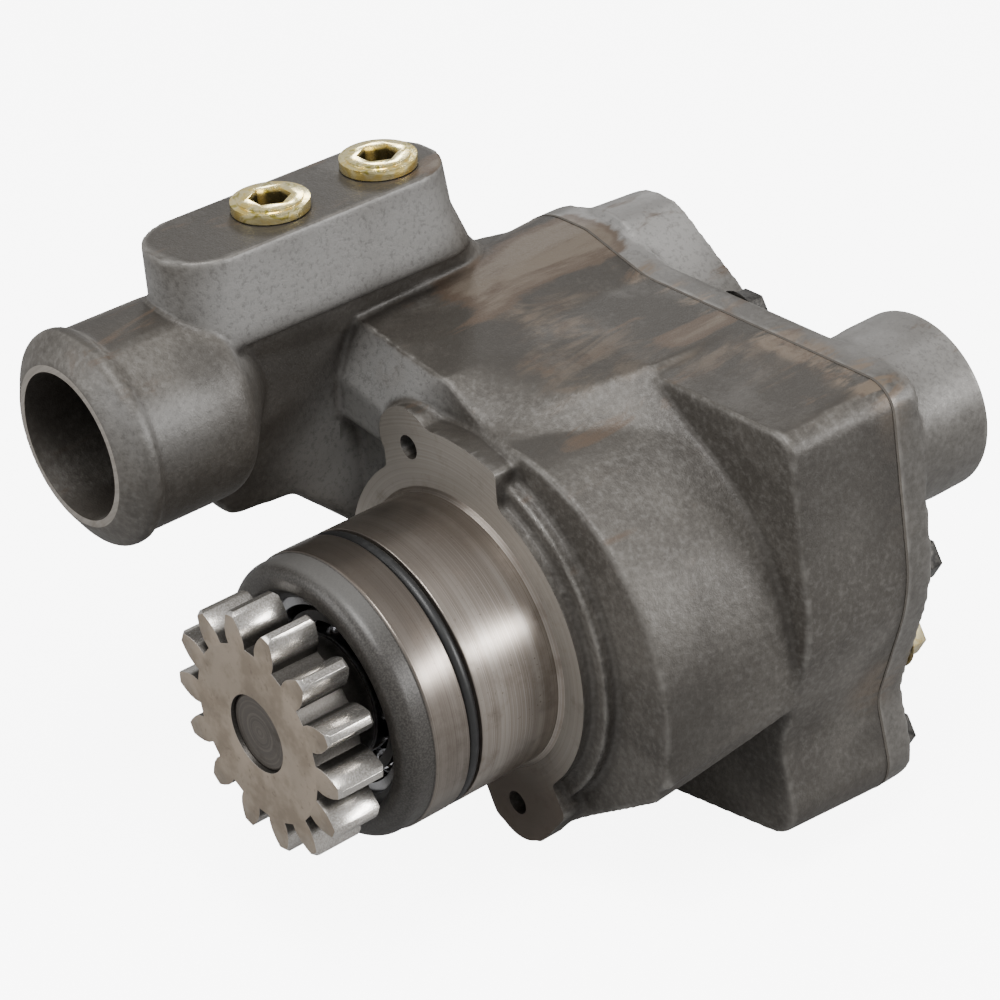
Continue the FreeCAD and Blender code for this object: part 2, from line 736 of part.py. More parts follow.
def rearCover():
    """Plate with the suction dome, the rising passage and the round outlet tube."""
    plate = slab("CoverPlate", jointOutline(), coverFront, coverRear)
    dome = taper("SuctionDome", s["domeRadius"] + 1.5, s["domeRadius"], coverRear - 1.0, humpEnd)
    sideDome = taper("SideDome", s["sideDomeRadius"] + 1.5, s["sideDomeRadius"], coverRear - 1.0,
                     sideDomeEnd, s["sideDomeX"], s["sideDomeZ"])
    hump = taper("HumpEnd", s["humpRadius"] + 1.0, s["humpRadius"], coverRear - 1.0, humpEnd,
                 s["humpX"], s["humpZ"])
    reach = (s["humpX"], s["humpZ"])
    length = math.hypot(number(reach[0]), number(reach[1]))
    along = Vector(number(reach[0]) / length, number(reach[1]) / length, 0)
    angle = math.acos((number(s["domeRadius"]) - number(s["humpRadius"])) / length)
    sides = []
    for turn in (angle, -angle):
        sides.append(Vector(along.x * math.cos(turn) - along.y * math.sin(turn),
                            along.x * math.sin(turn) + along.y * math.cos(turn), 0))
    web = slab("HumpWeb", [
        (s["domeRadius"] * sides[0].x, s["domeRadius"] * sides[0].y, 0),
        (s["humpX"] + s["humpRadius"] * sides[0].x, s["humpZ"] + s["humpRadius"] * sides[0].y, 0),
        (s["humpX"] + s["humpRadius"] * sides[1].x, s["humpZ"] + s["humpRadius"] * sides[1].y, 0),
        (s["domeRadius"] * sides[1].x, s["domeRadius"] * sides[1].y, 0),
    ], coverRear - 1.0, humpEnd)
    seatFront = sideDomeEnd + 0.5
    root = rod("OutletRoot", s["tubeRadius"] - 0.3, coverRear - 1.0, seatFront, s["tubeX"], s["tubeZ"])
    tube = rod("OutletTube", s["tubeRadius"], seatFront, tubeEnd, s["tubeX"], s["tubeZ"])
    stock = fuse("CoverStock", plate, dome, sideDome, hump, web, root, tube)
    wall = s["coverWall"]
    tools = [
        rod("SuctionCore", s["domeRadius"] - wall, coverFront - 1.0, humpEnd - wall),
        rod("HumpCore", s["humpRadius"] - wall, coverFront - 1.0, humpEnd - wall, s["humpX"], s["humpZ"]),
        rod("SideCore", s["sideDomeRadius"] - wall, coverFront - 1.0, sideDomeEnd - wall,
            s["sideDomeX"], s["sideDomeZ"]),
        rod("TubeCore", s["tubeBore"], coverFront - 1.0, tubeEnd + 1.0, s["tubeX"], s["tubeZ"]),
    ]
    tools += screwHoles("CoverScrewHole", s["screwRadius"] + s["holeGap"], coverFront - 1.0,
                        coverRear + 1.0, screwSpots)
    tools += screwHoles("CoverSpotFace", s["screwWasherRadius"] + s["holeGap"], coverRear,
                        coverRear + 12.0, screwSpots)
    tools += screwHoles("CoverDowelHole", s["dowelRadius"], coverFront - 1.0,
                        s["jointY"] + s["dowelLength"] / 2, dowelSpots)
    return cut("rear_cover", stock, fuse("CoverCores", *tools))


def coverGasket():
    sheetStock = slab("GasketSheet", jointOutline(), s["jointY"], coverFront)
    tools = [
        rod("GasketVolute", s["voluteRadius"] + 0.5, s["jointY"] - 1.0, coverFront + 1.0,
            s["drumX"] - 8.0, s["drumZ"]),
        rod("GasketInlet", s["humpRadius"] - s["coverWall"], s["jointY"] - 1.0, coverFront + 1.0,
            s["humpX"], s["humpZ"]),
    ]
    tools += screwHoles("GasketScrewHole", s["screwRadius"] + s["holeGap"], s["jointY"] - 1.0,
                        coverFront + 1.0, screwSpots)
    tools += screwHoles("GasketDowelHole", s["dowelRadius"] + s["holeGap"], s["jointY"] - 1.0,
                        coverFront + 1.0, dowelSpots)
    return cut("cover_gasket", sheetStock, fuse("GasketCores", *tools))


def hexPrism(name, circumradius, start, tall, x, z):
    item = doc.addObject("Part::Prism", name)
    item.Polygon = 6
    bind(item, "Circumradius", circumradius)
    bind(item, "Height", tall)
    return place(item, x, start, z, alongY)


def coverScrews():
    """Hexagon flange screws, heads behind the cover."""
    screws = []
    for index, (x, z) in enumerate(screwSpots):
        shank = rod(f"ScrewShank{index}", s["screwRadius"] - s["runningGap"], s["jointY"] - s["screwGrip"],
                    coverRear + 0.5, x, z)
        washer = taper(f"ScrewFlange{index}", s["screwWasherRadius"], s["screwHeadRadius"], coverRear,
                       coverRear + s["screwWasherThick"], x, z)
        head = hexPrism(f"ScrewHead{index}", s["screwHeadRadius"], coverRear + s["screwWasherThick"] - 0.2,
                        s["screwHeadTall"], x, z)
        screws.append(fuse(f"Screw{index}", shank, washer, head))
    return group("cover_screws", screws)


def dowelPins():
    pins = []
    for index, (x, z) in enumerate(dowelSpots):
        pins.append(rod(f"Dowel{index}", s["dowelRadius"], s["jointY"] - s["dowelLength"] / 2 + 0.2,
                        s["jointY"] + s["dowelLength"] / 2 - 0.2, x, z))
    return group("dowel_pins", pins)


def portPlugs():
    """Flanged plugs with a hexagon socket, in the top of the port block."""
    plugs = []
    x = s["neckX"] + 2.1
    for index, y in enumerate(plugSpots()):
        base = s["blockTop"]
        shank = upright(f"PlugShank{index}", s["portThreadRadius"] - s["runningGap"], base - 11.0,
                        Size(11.5, "11.5"), x, y)
        flange = upright(f"PlugFlange{index}", s["portThreadRadius"] + 2.6, base + 0.3, Size(2.7, "2.7"), x, y)
        crown = upright(f"PlugCrown{index}", s["portThreadRadius"] + 0.9, base + 2.8, Size(0.9, "0.9"), x, y)
        socket = upright(f"PlugSocket{index}", Size(5.77, "5.77"), base - 4.0, Size(9.0, "9"), x, y, 6)
        plugs.append(cut(f"Plug{index}", fuse(f"PlugStock{index}", shank, flange, crown), socket))
    return group("port_plugs", plugs)


def plugRings():
    rings = []
    x = s["neckX"] + 2.1
    for index, y in enumerate(plugSpots()):
        item = doc.addObject("Part::Torus", f"PlugRing{index}")
        bind(item, "Radius1", s["portThreadRadius"] + 0.9)
        bind(item, "Radius2", Size(0.65, "0.65"))
        rings.append(place(item, x, y, s["blockTop"] - 0.43))
    return group("plug_o_rings", rings)


# ---------------------------------------------------------------- rotor

def gearToothLoop(sketch):
    """Straight-sided involute-like teeth: root, flank points, tip, all round the wheel."""
    teeth = int(number(s["gearTeeth"]))
    root = number(s["gearRootRadius"])
    tip = number(s["gearTipRadius"])
    pitch = number(s["gearModule"]) * teeth / 2
    base = pitch * math.cos(math.radians(20))
    pitchHalf = math.pi / 2 / teeth + math.radians(0.9)
    involute = lambda radius: math.sqrt(max((radius / base) ** 2 - 1, 0)) - math.acos(min(base / radius, 1))
    steps = [(root, 0.0), (base, 0.0)] + [(base + (tip - base) * part, 1.0) for part in (0.3, 0.6, 0.85, 1.0)]
    shape = []
    for radius, flank in steps:
        half = pitchHalf + involute(pitch) - (involute(radius) if flank else 0.0)
        shape.append((radius, half))
    points = []
    for tooth in range(teeth):
        middle = 2 * math.pi * tooth / teeth + math.radians(number(s["gearPhase"]))
        for radius, half in shape:
            points.append(Vector(radius * math.cos(middle - half), radius * math.sin(middle - half), 0))
        for radius, half in reversed(shape):
            points.append(Vector(radius * math.cos(middle + half), radius * math.sin(middle + half), 0))
    for index, point in enumerate(points):
        sketch.addGeometry(Part.LineSegment(point, points[(index + 1) % len(points)]), False)


def driveGear():
    """Spur gear with a hub that reaches back to the front bearing."""
    body = doc.addObject("PartDesign::Body", "GearTeeth")
    sketch = newSketch(body, "GearTeethOutline", "XZ_Plane", s["gearFront"])
    gearToothLoop(sketch)
    pad = body.newObject("PartDesign::Pad", "GearTeethPad")
    pad.Profile = sketch
    bind(pad, "Length", s["gearWidth"])
    pad.Reversed = True
    hub = rod("GearHub", s["gearHubRadius"], -s["gearFront"] + 2.0, frontBearingFront)
    bevel = turned("GearBevel", [
        (0.0, -s["gearFront"]),
        (s["gearTipRadius"] - 1.0, -s["gearFront"]),
        (s["gearTipRadius"] + 1.0, -s["gearFront"] + 2.0),
        (s["gearTipRadius"] + 1.0, -s["gearFront"] + s["gearWidth"] - 2.0),
        (s["gearTipRadius"] - 1.0, -s["gearFront"] + s["gearWidth"]),
        (0.0, -s["gearFront"] + s["gearWidth"]),
    ])
    stock = fuse("GearStock", common("GearTrim", body, bevel), hub)
    bore = rod("GearBore", s["gearSeatRadius"], -s["gearFront"] - 1.0, frontBearingFront + 1.0)
    return cut("drive_gear", stock, bore)


def pumpShaft():
    front = -s["gearFront"] + s["shaftRecess"]
    return turned("pump_shaft", [
        (0.0, front),
        (s["gearSeatRadius"], front, 1.2),
        (s["gearSeatRadius"], frontBearingFront),
        (s["bearingSeatRadius"], frontBearingFront),
        (s["bearingSeatRadius"], s["rearBearingRear"]),
        (s["collarRadius"], s["rearBearingRear"]),
        (s["collarRadius"], s["rearBearingRear"] + 2.5),
        (s["oilJournalRadius"], s["rearBearingRear"] + 2.5),
        (s["oilJournalRadius"], oilSealRear + 3.0),
        (s["pumpJournalRadius"], oilSealRear + 3.0),
        (s["pumpJournalRadius"], s["shaftRear"], 1.0),
        (0.0, s["shaftRear"]),
    ])


def cagePocket(name, radius, pitch, middle, angle):
    """A round pocket that points outwards from the shaft."""
    outwards = Vector(math.cos(angle), 0, math.sin(angle))
    item = doc.addObject("Part::Cylinder", name)
    bind(item, "Radius", radius)
    item.Height = 10.0
    inner = pitch - 5.0
    return place(item, inner * outwards.x, middle, inner * outwards.z, Rotation(Vector(0, 0, 1), outwards))


def bearing(side, bore, outer, front, width, ballRadius, pitch, count, shoulder, land):
    """Deep groove ball bearing: two rings, a cage and its balls."""
    middle = front + width / 2
    rear = front + width
    label = side.capitalize()
    groove = ballRadius + s["runningGap"]
    outerStock = cut(f"{label}OuterStock", rod(f"{label}OuterRod", outer, front, rear),
                     rod(f"{label}OuterBore", land, front - 1.0, rear + 1.0))
    cut(f"{side}_bearing_outer_ring", outerStock, ringTorus(f"{label}OuterGroove", pitch, groove, middle))
    innerStock = cut(f"{label}InnerStock", rod(f"{label}InnerRod", shoulder, front, rear),
                     rod(f"{label}InnerBore", bore, front - 1.0, rear + 1.0))
    cut(f"{side}_bearing_inner_ring", innerStock, ringTorus(f"{label}InnerGroove", pitch, groove, middle))
    total = int(number(count))
    spots = []
    for index in range(total):
        angle = 2 * math.pi * index / total
        spots.append((pitch * math.cos(angle), pitch * math.sin(angle)))
    balls = [ball(f"{label}Ball{index}", ballRadius, x, middle, z) for index, (x, z) in enumerate(spots)]
    group(f"{side}_bearing_balls", balls)
    pockets = [cagePocket(f"{label}Pocket{index}", ballRadius + 0.12, pitch, middle, 2 * math.pi * index / total)
               for index in range(total)]
    half = ballRadius + 0.9
    cageStock = cut(f"{label}CageStock", rod(f"{label}CageRod", pitch + 1.4, middle - half, middle + half),
                    rod(f"{label}CageBore", pitch - 1.4, middle - half - 1.0, middle + half + 1.0))
    cut(f"{side}_bearing_cage", cageStock, fuse(f"{label}Pockets", *pockets))


def bearings():
    bearing("front", s["bearingSeatRadius"], s["frontBearingRadius"], frontBearingFront,
            s["frontBearingWidth"], s["frontBallRadius"], s["frontPitchRadius"], s["frontBallCount"],
            s["frontShoulder"], s["frontLand"])
    bearing("rear", s["bearingSeatRadius"], s["rearBearingRadius"], rearBearingFront,
            s["rearBearingWidth"], s["rearBallRadius"], s["rearPitchRadius"], s["rearBallCount"],
            s["rearShoulder"], s["rearLand"])
    turned("bearing_spacer", [
        (s["bearingSeatRadius"], s["frontBearingRear"]),
        (s["rearShoulder"] - 0.4, s["frontBearingRear"]),
        (s["rearShoulder"] - 0.4, rearBearingFront),
        (s["bearingSeatRadius"], rearBearingFront),
    ])


def snapRing():
    """Internal retaining ring with an open gap and two lugs at the bottom."""
    outer = rod("SnapOuter", s["frontBearingRadius"] + 1.9, snapFront + 0.1, frontBearingFront)
    inner = rod("SnapInner", s["frontBearingRadius"] - 2.6, snapFront - 1.0, frontBearingFront + 1.0)
    lugs = slab("SnapLugs", [(-9.0, -31.0, 2), (-8.0, -24.5, 2), (8.0, -24.5, 2), (9.0, -31.0, 2)],
                snapFront + 0.1, frontBearingFront)
    opening = slab("SnapGap", [(-3.0, -36.0, 0), (-3.0, -20.0, 0), (3.0, -20.0, 0), (3.0, -36.0, 0)],
                   snapFront - 1.0, frontBearingFront + 1.0)
    holes = [rod(f"SnapHole{side}", Size(1.25, "1.25"), snapFront - 1.0, frontBearingFront + 1.0,
                 5.6 * (1 if side else -1), -27.2) for side in (0, 1)]
    ring = fuse("SnapStock", cut("SnapBand", outer, inner), lugs)
    return cut("snap_ring", ring, fuse("SnapCuts", opening, *holes))


# ---------------------------------------------------------------- seals

def oilSeal():
    front = s["oilSealFront"]
    rear = oilSealRear
    outer = s["oilSealRadius"]
    journal = s["oilJournalRadius"]
    turned("oil_seal_case", [
        (outer, front), (outer, rear), (journal + 3.2, rear), (journal + 3.2, rear - 1.2),
        (outer - 1.2, rear - 1.2), (outer - 1.2, front),
    ])
    turned("oil_seal_lip", [
        (journal + s["runningGap"], front + 2.2), (journal + 1.0, front + 1.2), (journal + 2.4, front + 1.2),
        (journal + 2.6, rear - 3.2), (outer - 1.3, rear - 2.2), (outer - 1.3, rear - 1.3),
        (journal + 1.8, rear - 1.3), (journal + 1.2, rear - 3.0),
    ])
    ringTorus("oil_seal_spring", journal + 3.5, Size(0.7, "0.7"), front + 2.1)


def waterSeal():
    """Face seal: brass shell, rubber bellows, spring and carbon nose stand still."""
    seat = s["waterSealSeat"]
    front = seat - s["waterSealDepth"]
    outer = s["waterSealRadius"]
    journal = s["pumpJournalRadius"]
    wall = 1.2
    face = s["faceY"] - s["runningGap"]
    turned("seal_shell", [
        (journal + 2.0, front), (outer, front), (outer, seat), (s["sealFlangeRadius"], seat),
        (s["sealFlangeRadius"], seat + wall), (outer - wall, seat + wall), (outer - wall, front + wall),
        (journal + 2.0, front + wall),
    ])
    turned("seal_bellows", [
        (journal + 1.4, front + wall + 0.1), (outer - wall - 0.1, front + wall + 0.1),
        (outer - wall - 0.1, front + wall + 1.6), (journal + 3.0, front + wall + 1.6),
        (journal + 3.0, face - 4.6), (journal + 6.3, face - 4.6), (journal + 6.3, face - 3.4),
        (journal + 1.4, face - 3.4),
    ])
    turned("seal_carbon", [
        (journal + 1.6, face - 3.3), (journal + 6.3, face - 3.3), (journal + 6.3, face - 1.0),
        (journal + 5.4, face), (journal + 2.2, face), (journal + 1.6, face - 0.6),
    ])
    turned("seal_seat", [
        (journal + 1.6, s["faceY"]), (journal + 7.5, s["faceY"]),
        (journal + 7.5, s["faceY"] + s["seatThick"]), (journal + 1.6, s["faceY"] + s["seatThick"]),
    ])
    turned("seal_seat_cup", [
        (journal + 7.5, s["faceY"] + 1.0), (journal + 9.0, s["faceY"] + 1.0),
        (journal + 9.0, s["faceY"] + s["seatThick"] + 1.4), (journal + 1.0, s["faceY"] + s["seatThick"] + 1.4),
        (journal + 1.0, s["faceY"] + s["seatThick"]), (journal + 7.5, s["faceY"] + s["seatThick"]),
    ])


def sealSpring():
    """Compression spring between the shell and the carbon's rubber shoulder."""
    wire = 0.75
    start = number(s["waterSealSeat"]) - number(s["waterSealDepth"]) + 1.2 + 1.6 + wire + 0.1
    end = number(s["faceY"]) - number(s["runningGap"]) - 4.6 - wire - 0.1
    radius = number(s["pumpJournalRadius"]) + 4.6
    turns = 3.0
    helix = Part.makeHelix((end - start) / turns, end - start, radius)
    profile = Part.Wire(Part.makeCircle(wire, Vector(radius, 0, 0), Vector(0, 1, 0)))
    spring = doc.addObject("Part::Feature", "seal_spring")
    spring.Shape = Part.Wire(helix.Edges).makePipeShell([profile], True, True)
    spring.Placement = Placement(Vector(0, start, 0), alongY)
    return spring


def pilotRing():
    middle = -s["grooveFront"] + s["grooveWidth"] / 2
    floor = s["pilotRadius"] - s["grooveDepth"]
    return ringTorus("pilot_o_ring", floor + s["ringSection"], s["ringSection"], middle)


# ---------------------------------------------------------------- impeller

def impeller():
    """Semi-open impeller: back disc, hub and swept vanes facing the rear cover."""
    count = int(number(s["vaneCount"]))
    radius = s["impellerRadius"]
    back = s["impellerBackY"]
    hubFront = s["faceY"] + 0.6
    disc = turned("ImpellerDisc", [
        (0.0, hubFront), (s["impellerHubRadius"], hubFront, 1.0), (s["impellerHubRadius"], back - 0.2),
        (radius, back, 1.0), (radius, impellerDiscRear, 1.0), (s["impellerHubRadius"] - 2.0, impellerDiscRear + 1.5, 4.0),
        (s["pumpJournalRadius"] + 5.5, s["shaftRear"] - 1.0, 2.0), (0.0, s["shaftRear"] - 1.0),
    ])
    vanes = [impellerVane(index, count) for index in range(count)]
    stock = fuse("ImpellerStock", disc, *vanes)
    bore = rod("ImpellerBore", s["pumpJournalRadius"], hubFront - 1.0, s["shaftRear"] + 1.0)
    pocket = rod("ImpellerPocket", s["pumpJournalRadius"] + 9.0, hubFront - 1.0,
                 s["faceY"] + s["seatThick"] + 1.4)
    return cut("impeller", stock, fuse("ImpellerCuts", bore, pocket))


def impellerVane(index, count):
    """One vane, swept back along two circles that differ by its thickness."""
    sweep = number(s["impellerRadius"]) * 0.78
    angle = 360.0 * index / count
    outer = rod(f"VaneOuter{index}", sweep, impellerDiscRear - 0.5, impellerDiscRear + s["vaneTall"])
    inner = rod(f"VaneInner{index}", sweep - s["vaneThick"], impellerDiscRear - 1.0,
                impellerDiscRear + s["vaneTall"] + 1.0)
    shell = cut(f"VaneShell{index}", outer, inner)
    centre = Vector(sweep * 0.62, 0, sweep * 0.62)
    spin = Rotation(Vector(0, 1, 0), angle)
    moved = spin.multVec(centre)
    for item in (outer, inner):
        base = Vector(moved.x, item.Placement.Base.y, moved.z)
        item.Placement = Placement(base, alongY)
    reach = cut(f"VaneReach{index}",
                rod(f"VaneRim{index}", s["impellerRadius"], impellerDiscRear - 0.5,
                    impellerDiscRear + s["vaneTall"]),
                rod(f"VaneEye{index}", s["pumpJournalRadius"] + 8.0, impellerDiscRear - 1.0,
                    impellerDiscRear + s["vaneTall"] + 1.0))
    corners = []
    for step in (-4.0, 58.0, 112.0):
        turn = math.radians(step - angle)
        corners.append((70.0 * math.cos(turn), 70.0 * math.sin(turn), 0))
    window = slab(f"VaneWindow{index}", [(0.0, 0.0, 0)] + corners, impellerDiscRear - 1.0,
                  impellerDiscRear + s["vaneTall"] + 1.0)
    return common(f"Vane{index}", common(f"VaneArc{index}", shell, reach), window)


# ---------------------------------------------------------------- build, check and write

pumpHousing()
rearCover()
coverGasket()
coverScrews()
dowelPins()
portPlugs()
plugRings()
driveGear()
pumpShaft()
bearings()
snapRing()
oilSeal()
waterSeal()
sealSpring()
pilotRing()
impeller()
doc.recompute()

nodes = """
pump_housing rear_cover cover_gasket cover_screws dowel_pins port_plugs plug_o_rings pilot_o_ring
drive_gear pump_shaft impeller bearing_spacer snap_ring
front_bearing_outer_ring front_bearing_inner_ring front_bearing_cage front_bearing_balls
rear_bearing_outer_ring rear_bearing_inner_ring rear_bearing_cage rear_bearing_balls
oil_seal_case oil_seal_lip oil_seal_spring
seal_shell seal_bellows seal_spring seal_carbon seal_seat seal_seat_cup
""".split()

faults = [item.Name for item in doc.Objects if "Invalid" in item.State or "Error" in item.State]
for name in nodes:
    shape = doc.getObject(name).Shape
    if shape.isNull() or not shape.isValid() or not shape.Solids:
        faults.append(name + " shape")
if faults:
    raise RuntimeError("objects that failed: " + ", ".join(faults))

for name in nodes:
    item = doc.getObject(name)
    item.Label = name
    item.Shape.exportStep(f"parts/{name}.step")
    box = item.Shape.BoundBox
    print(f"{name:26s} {len(item.Shape.Solids)} solids  volume {item.Shape.Volume:10.0f}  "
          f"x {box.XMin:7.1f} {box.XMax:7.1f}  y {box.YMin:7.1f} {box.YMax:7.1f}  z {box.ZMin:7.1f} {box.ZMax:7.1f}")
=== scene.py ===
import bmesh
import bpy
import json
import math
import numpy as np
from mathutils import Matrix, Vector


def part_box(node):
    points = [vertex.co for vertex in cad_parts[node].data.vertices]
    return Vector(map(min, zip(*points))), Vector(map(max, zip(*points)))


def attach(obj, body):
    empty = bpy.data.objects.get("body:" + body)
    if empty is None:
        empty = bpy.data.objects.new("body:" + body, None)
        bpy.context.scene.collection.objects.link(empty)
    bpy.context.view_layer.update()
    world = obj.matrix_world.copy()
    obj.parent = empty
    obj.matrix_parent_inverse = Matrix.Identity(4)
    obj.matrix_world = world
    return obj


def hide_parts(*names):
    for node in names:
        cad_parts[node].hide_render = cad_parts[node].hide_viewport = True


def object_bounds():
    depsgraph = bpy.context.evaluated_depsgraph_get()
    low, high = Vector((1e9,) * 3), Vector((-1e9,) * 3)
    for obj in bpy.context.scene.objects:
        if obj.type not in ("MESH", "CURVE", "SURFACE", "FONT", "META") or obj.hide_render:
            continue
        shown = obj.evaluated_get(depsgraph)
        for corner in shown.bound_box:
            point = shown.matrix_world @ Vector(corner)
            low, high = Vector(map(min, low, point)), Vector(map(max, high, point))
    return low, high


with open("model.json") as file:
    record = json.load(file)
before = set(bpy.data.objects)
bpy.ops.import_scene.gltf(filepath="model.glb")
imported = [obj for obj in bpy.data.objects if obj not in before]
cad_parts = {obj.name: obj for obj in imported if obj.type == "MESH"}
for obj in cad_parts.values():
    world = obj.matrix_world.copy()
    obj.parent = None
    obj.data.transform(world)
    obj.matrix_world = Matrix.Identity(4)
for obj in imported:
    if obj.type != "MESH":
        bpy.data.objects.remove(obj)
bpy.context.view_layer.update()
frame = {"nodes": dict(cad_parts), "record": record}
mm = 0.001
weld = 0.002 * mm
touch = 0.01 * mm
mounts = {mount["name"]: mount for mount in frame["record"]["mounts"]}
print("frame loaded")


# Shader maths: a Wire is an output socket that sums and products can be written with.
class Wire:
    def __init__(self, paint, socket):
        self.paint = paint
        self.socket = socket

    def maths(self, operation, first, second):
        return self.paint.node("ShaderNodeMath", {"operation": operation}, {0: first, 1: second})

    def __add__(self, other):
        return self.maths("ADD", self, other)

    def __radd__(self, other):
        return self.maths("ADD", other, self)

    def __sub__(self, other):
        return self.maths("SUBTRACT", self, other)

    def __rsub__(self, other):
        return self.maths("SUBTRACT", other, self)

    def __mul__(self, other):
        return self.maths("MULTIPLY", self, other)

    def __rmul__(self, other):
        return self.maths("MULTIPLY", other, self)

    def __pow__(self, other):
        return self.maths("POWER", self, other)

    def output(self, name):
        return Wire(self.paint, self.socket.node.outputs[name])


class Paint:
    def __init__(self, name):
        self.material = bpy.data.materials.new(name)
        self.material.use_nodes = True
        self.tree = self.material.node_tree
        self.tree.nodes.clear()
        self.place = self.node("ShaderNodeTexCoord", output="Object")

    def node(self, kind, settings=None, sockets=None, output=0):
        made = self.tree.nodes.new(kind)
        for key, value in (settings or {}).items():
            setattr(made, key, value)
        for key, value in (sockets or {}).items():
            if isinstance(value, Wire):
                self.tree.links.new(value.socket, made.inputs[key])
            else:
                made.inputs[key].default_value = value
        return Wire(self, made.outputs[output])

    def noise(self, size, detail=3.0, roughness=0.55, vector=None, distortion=0.0):  # size in millimetres
        sockets = {"Vector": vector or self.place, "Scale": 1 / (size * mm), "Detail": detail,
                   "Roughness": roughness, "Distortion": distortion}
        return self.node("ShaderNodeTexNoise", {}, sockets)

    def step(self, value, low, high):  # 0 below low, 1 above high
        sockets = {"Value": value, "From Min": low, "From Max": high}
        return self.node("ShaderNodeMapRange", {"interpolation_type": "SMOOTHSTEP"}, sockets)

    def mix(self, first, second, factor):
        colours = [value if isinstance(value, Wire) else (*value, 1.0) for value in (first, second)]
        sockets = {0: factor, 6: colours[0], 7: colours[1]}
        return self.node("ShaderNodeMix", {"data_type": "RGBA"}, sockets, 2)

    def parts(self, vector):  # x, y and z of a vector
        split = self.node("ShaderNodeSeparateXYZ", {}, {0: vector})
        return split.output("X"), split.output("Y"), split.output("Z")

    def radius(self, x=0.0, z=0.0):  # distance from a line along Y
        across, along, up = self.parts(self.place)
        side = across - x * mm
        rise = up - z * mm
        return (side * side + rise * rise) ** 0.5

    def near(self, point, reach):  # 1 at a point, fading to 0 at its reach, in millimetres
        centre = tuple(value * mm for value in point)
        sockets = {0: self.place, 1: centre}
        far = self.node("ShaderNodeVectorMath", {"operation": "DISTANCE"}, sockets, "Value")
        return self.step(far, reach * mm, reach * 0.25 * mm)

    def facing(self):  # x, y and z of the way the surface faces
        return self.parts(self.node("ShaderNodeNewGeometry", output="Normal"))

    def ringwise(self):  # places that only change along the shaft and outwards from it
        along = self.parts(self.place)[1]
        return self.node("ShaderNodeCombineXYZ", {}, {0: along, 1: self.radius(), 2: 0.0})

    def attribute(self, name):
        return self.node("ShaderNodeAttribute", {"attribute_name": name}, {}, "Fac")

    def bump(self, height, depth, below=None):  # depth in millimetres
        sockets = {"Height": height, "Distance": depth * mm}
        if below:
            sockets["Normal"] = below
        return self.node("ShaderNodeBump", {}, sockets)

    def finish(self, colour, roughness, metallic, normal=None):
        sockets = {"Base Color": colour, "Roughness": roughness, "Metallic": metallic}
        if normal:
            sockets["Normal"] = normal
        return self.close(self.node("ShaderNodeBsdfPrincipled", {}, sockets))

    def close(self, shader):
        ending = self.tree.nodes.new("ShaderNodeOutputMaterial")
        self.tree.links.new(shader.socket, ending.inputs["Surface"])
        return self.material


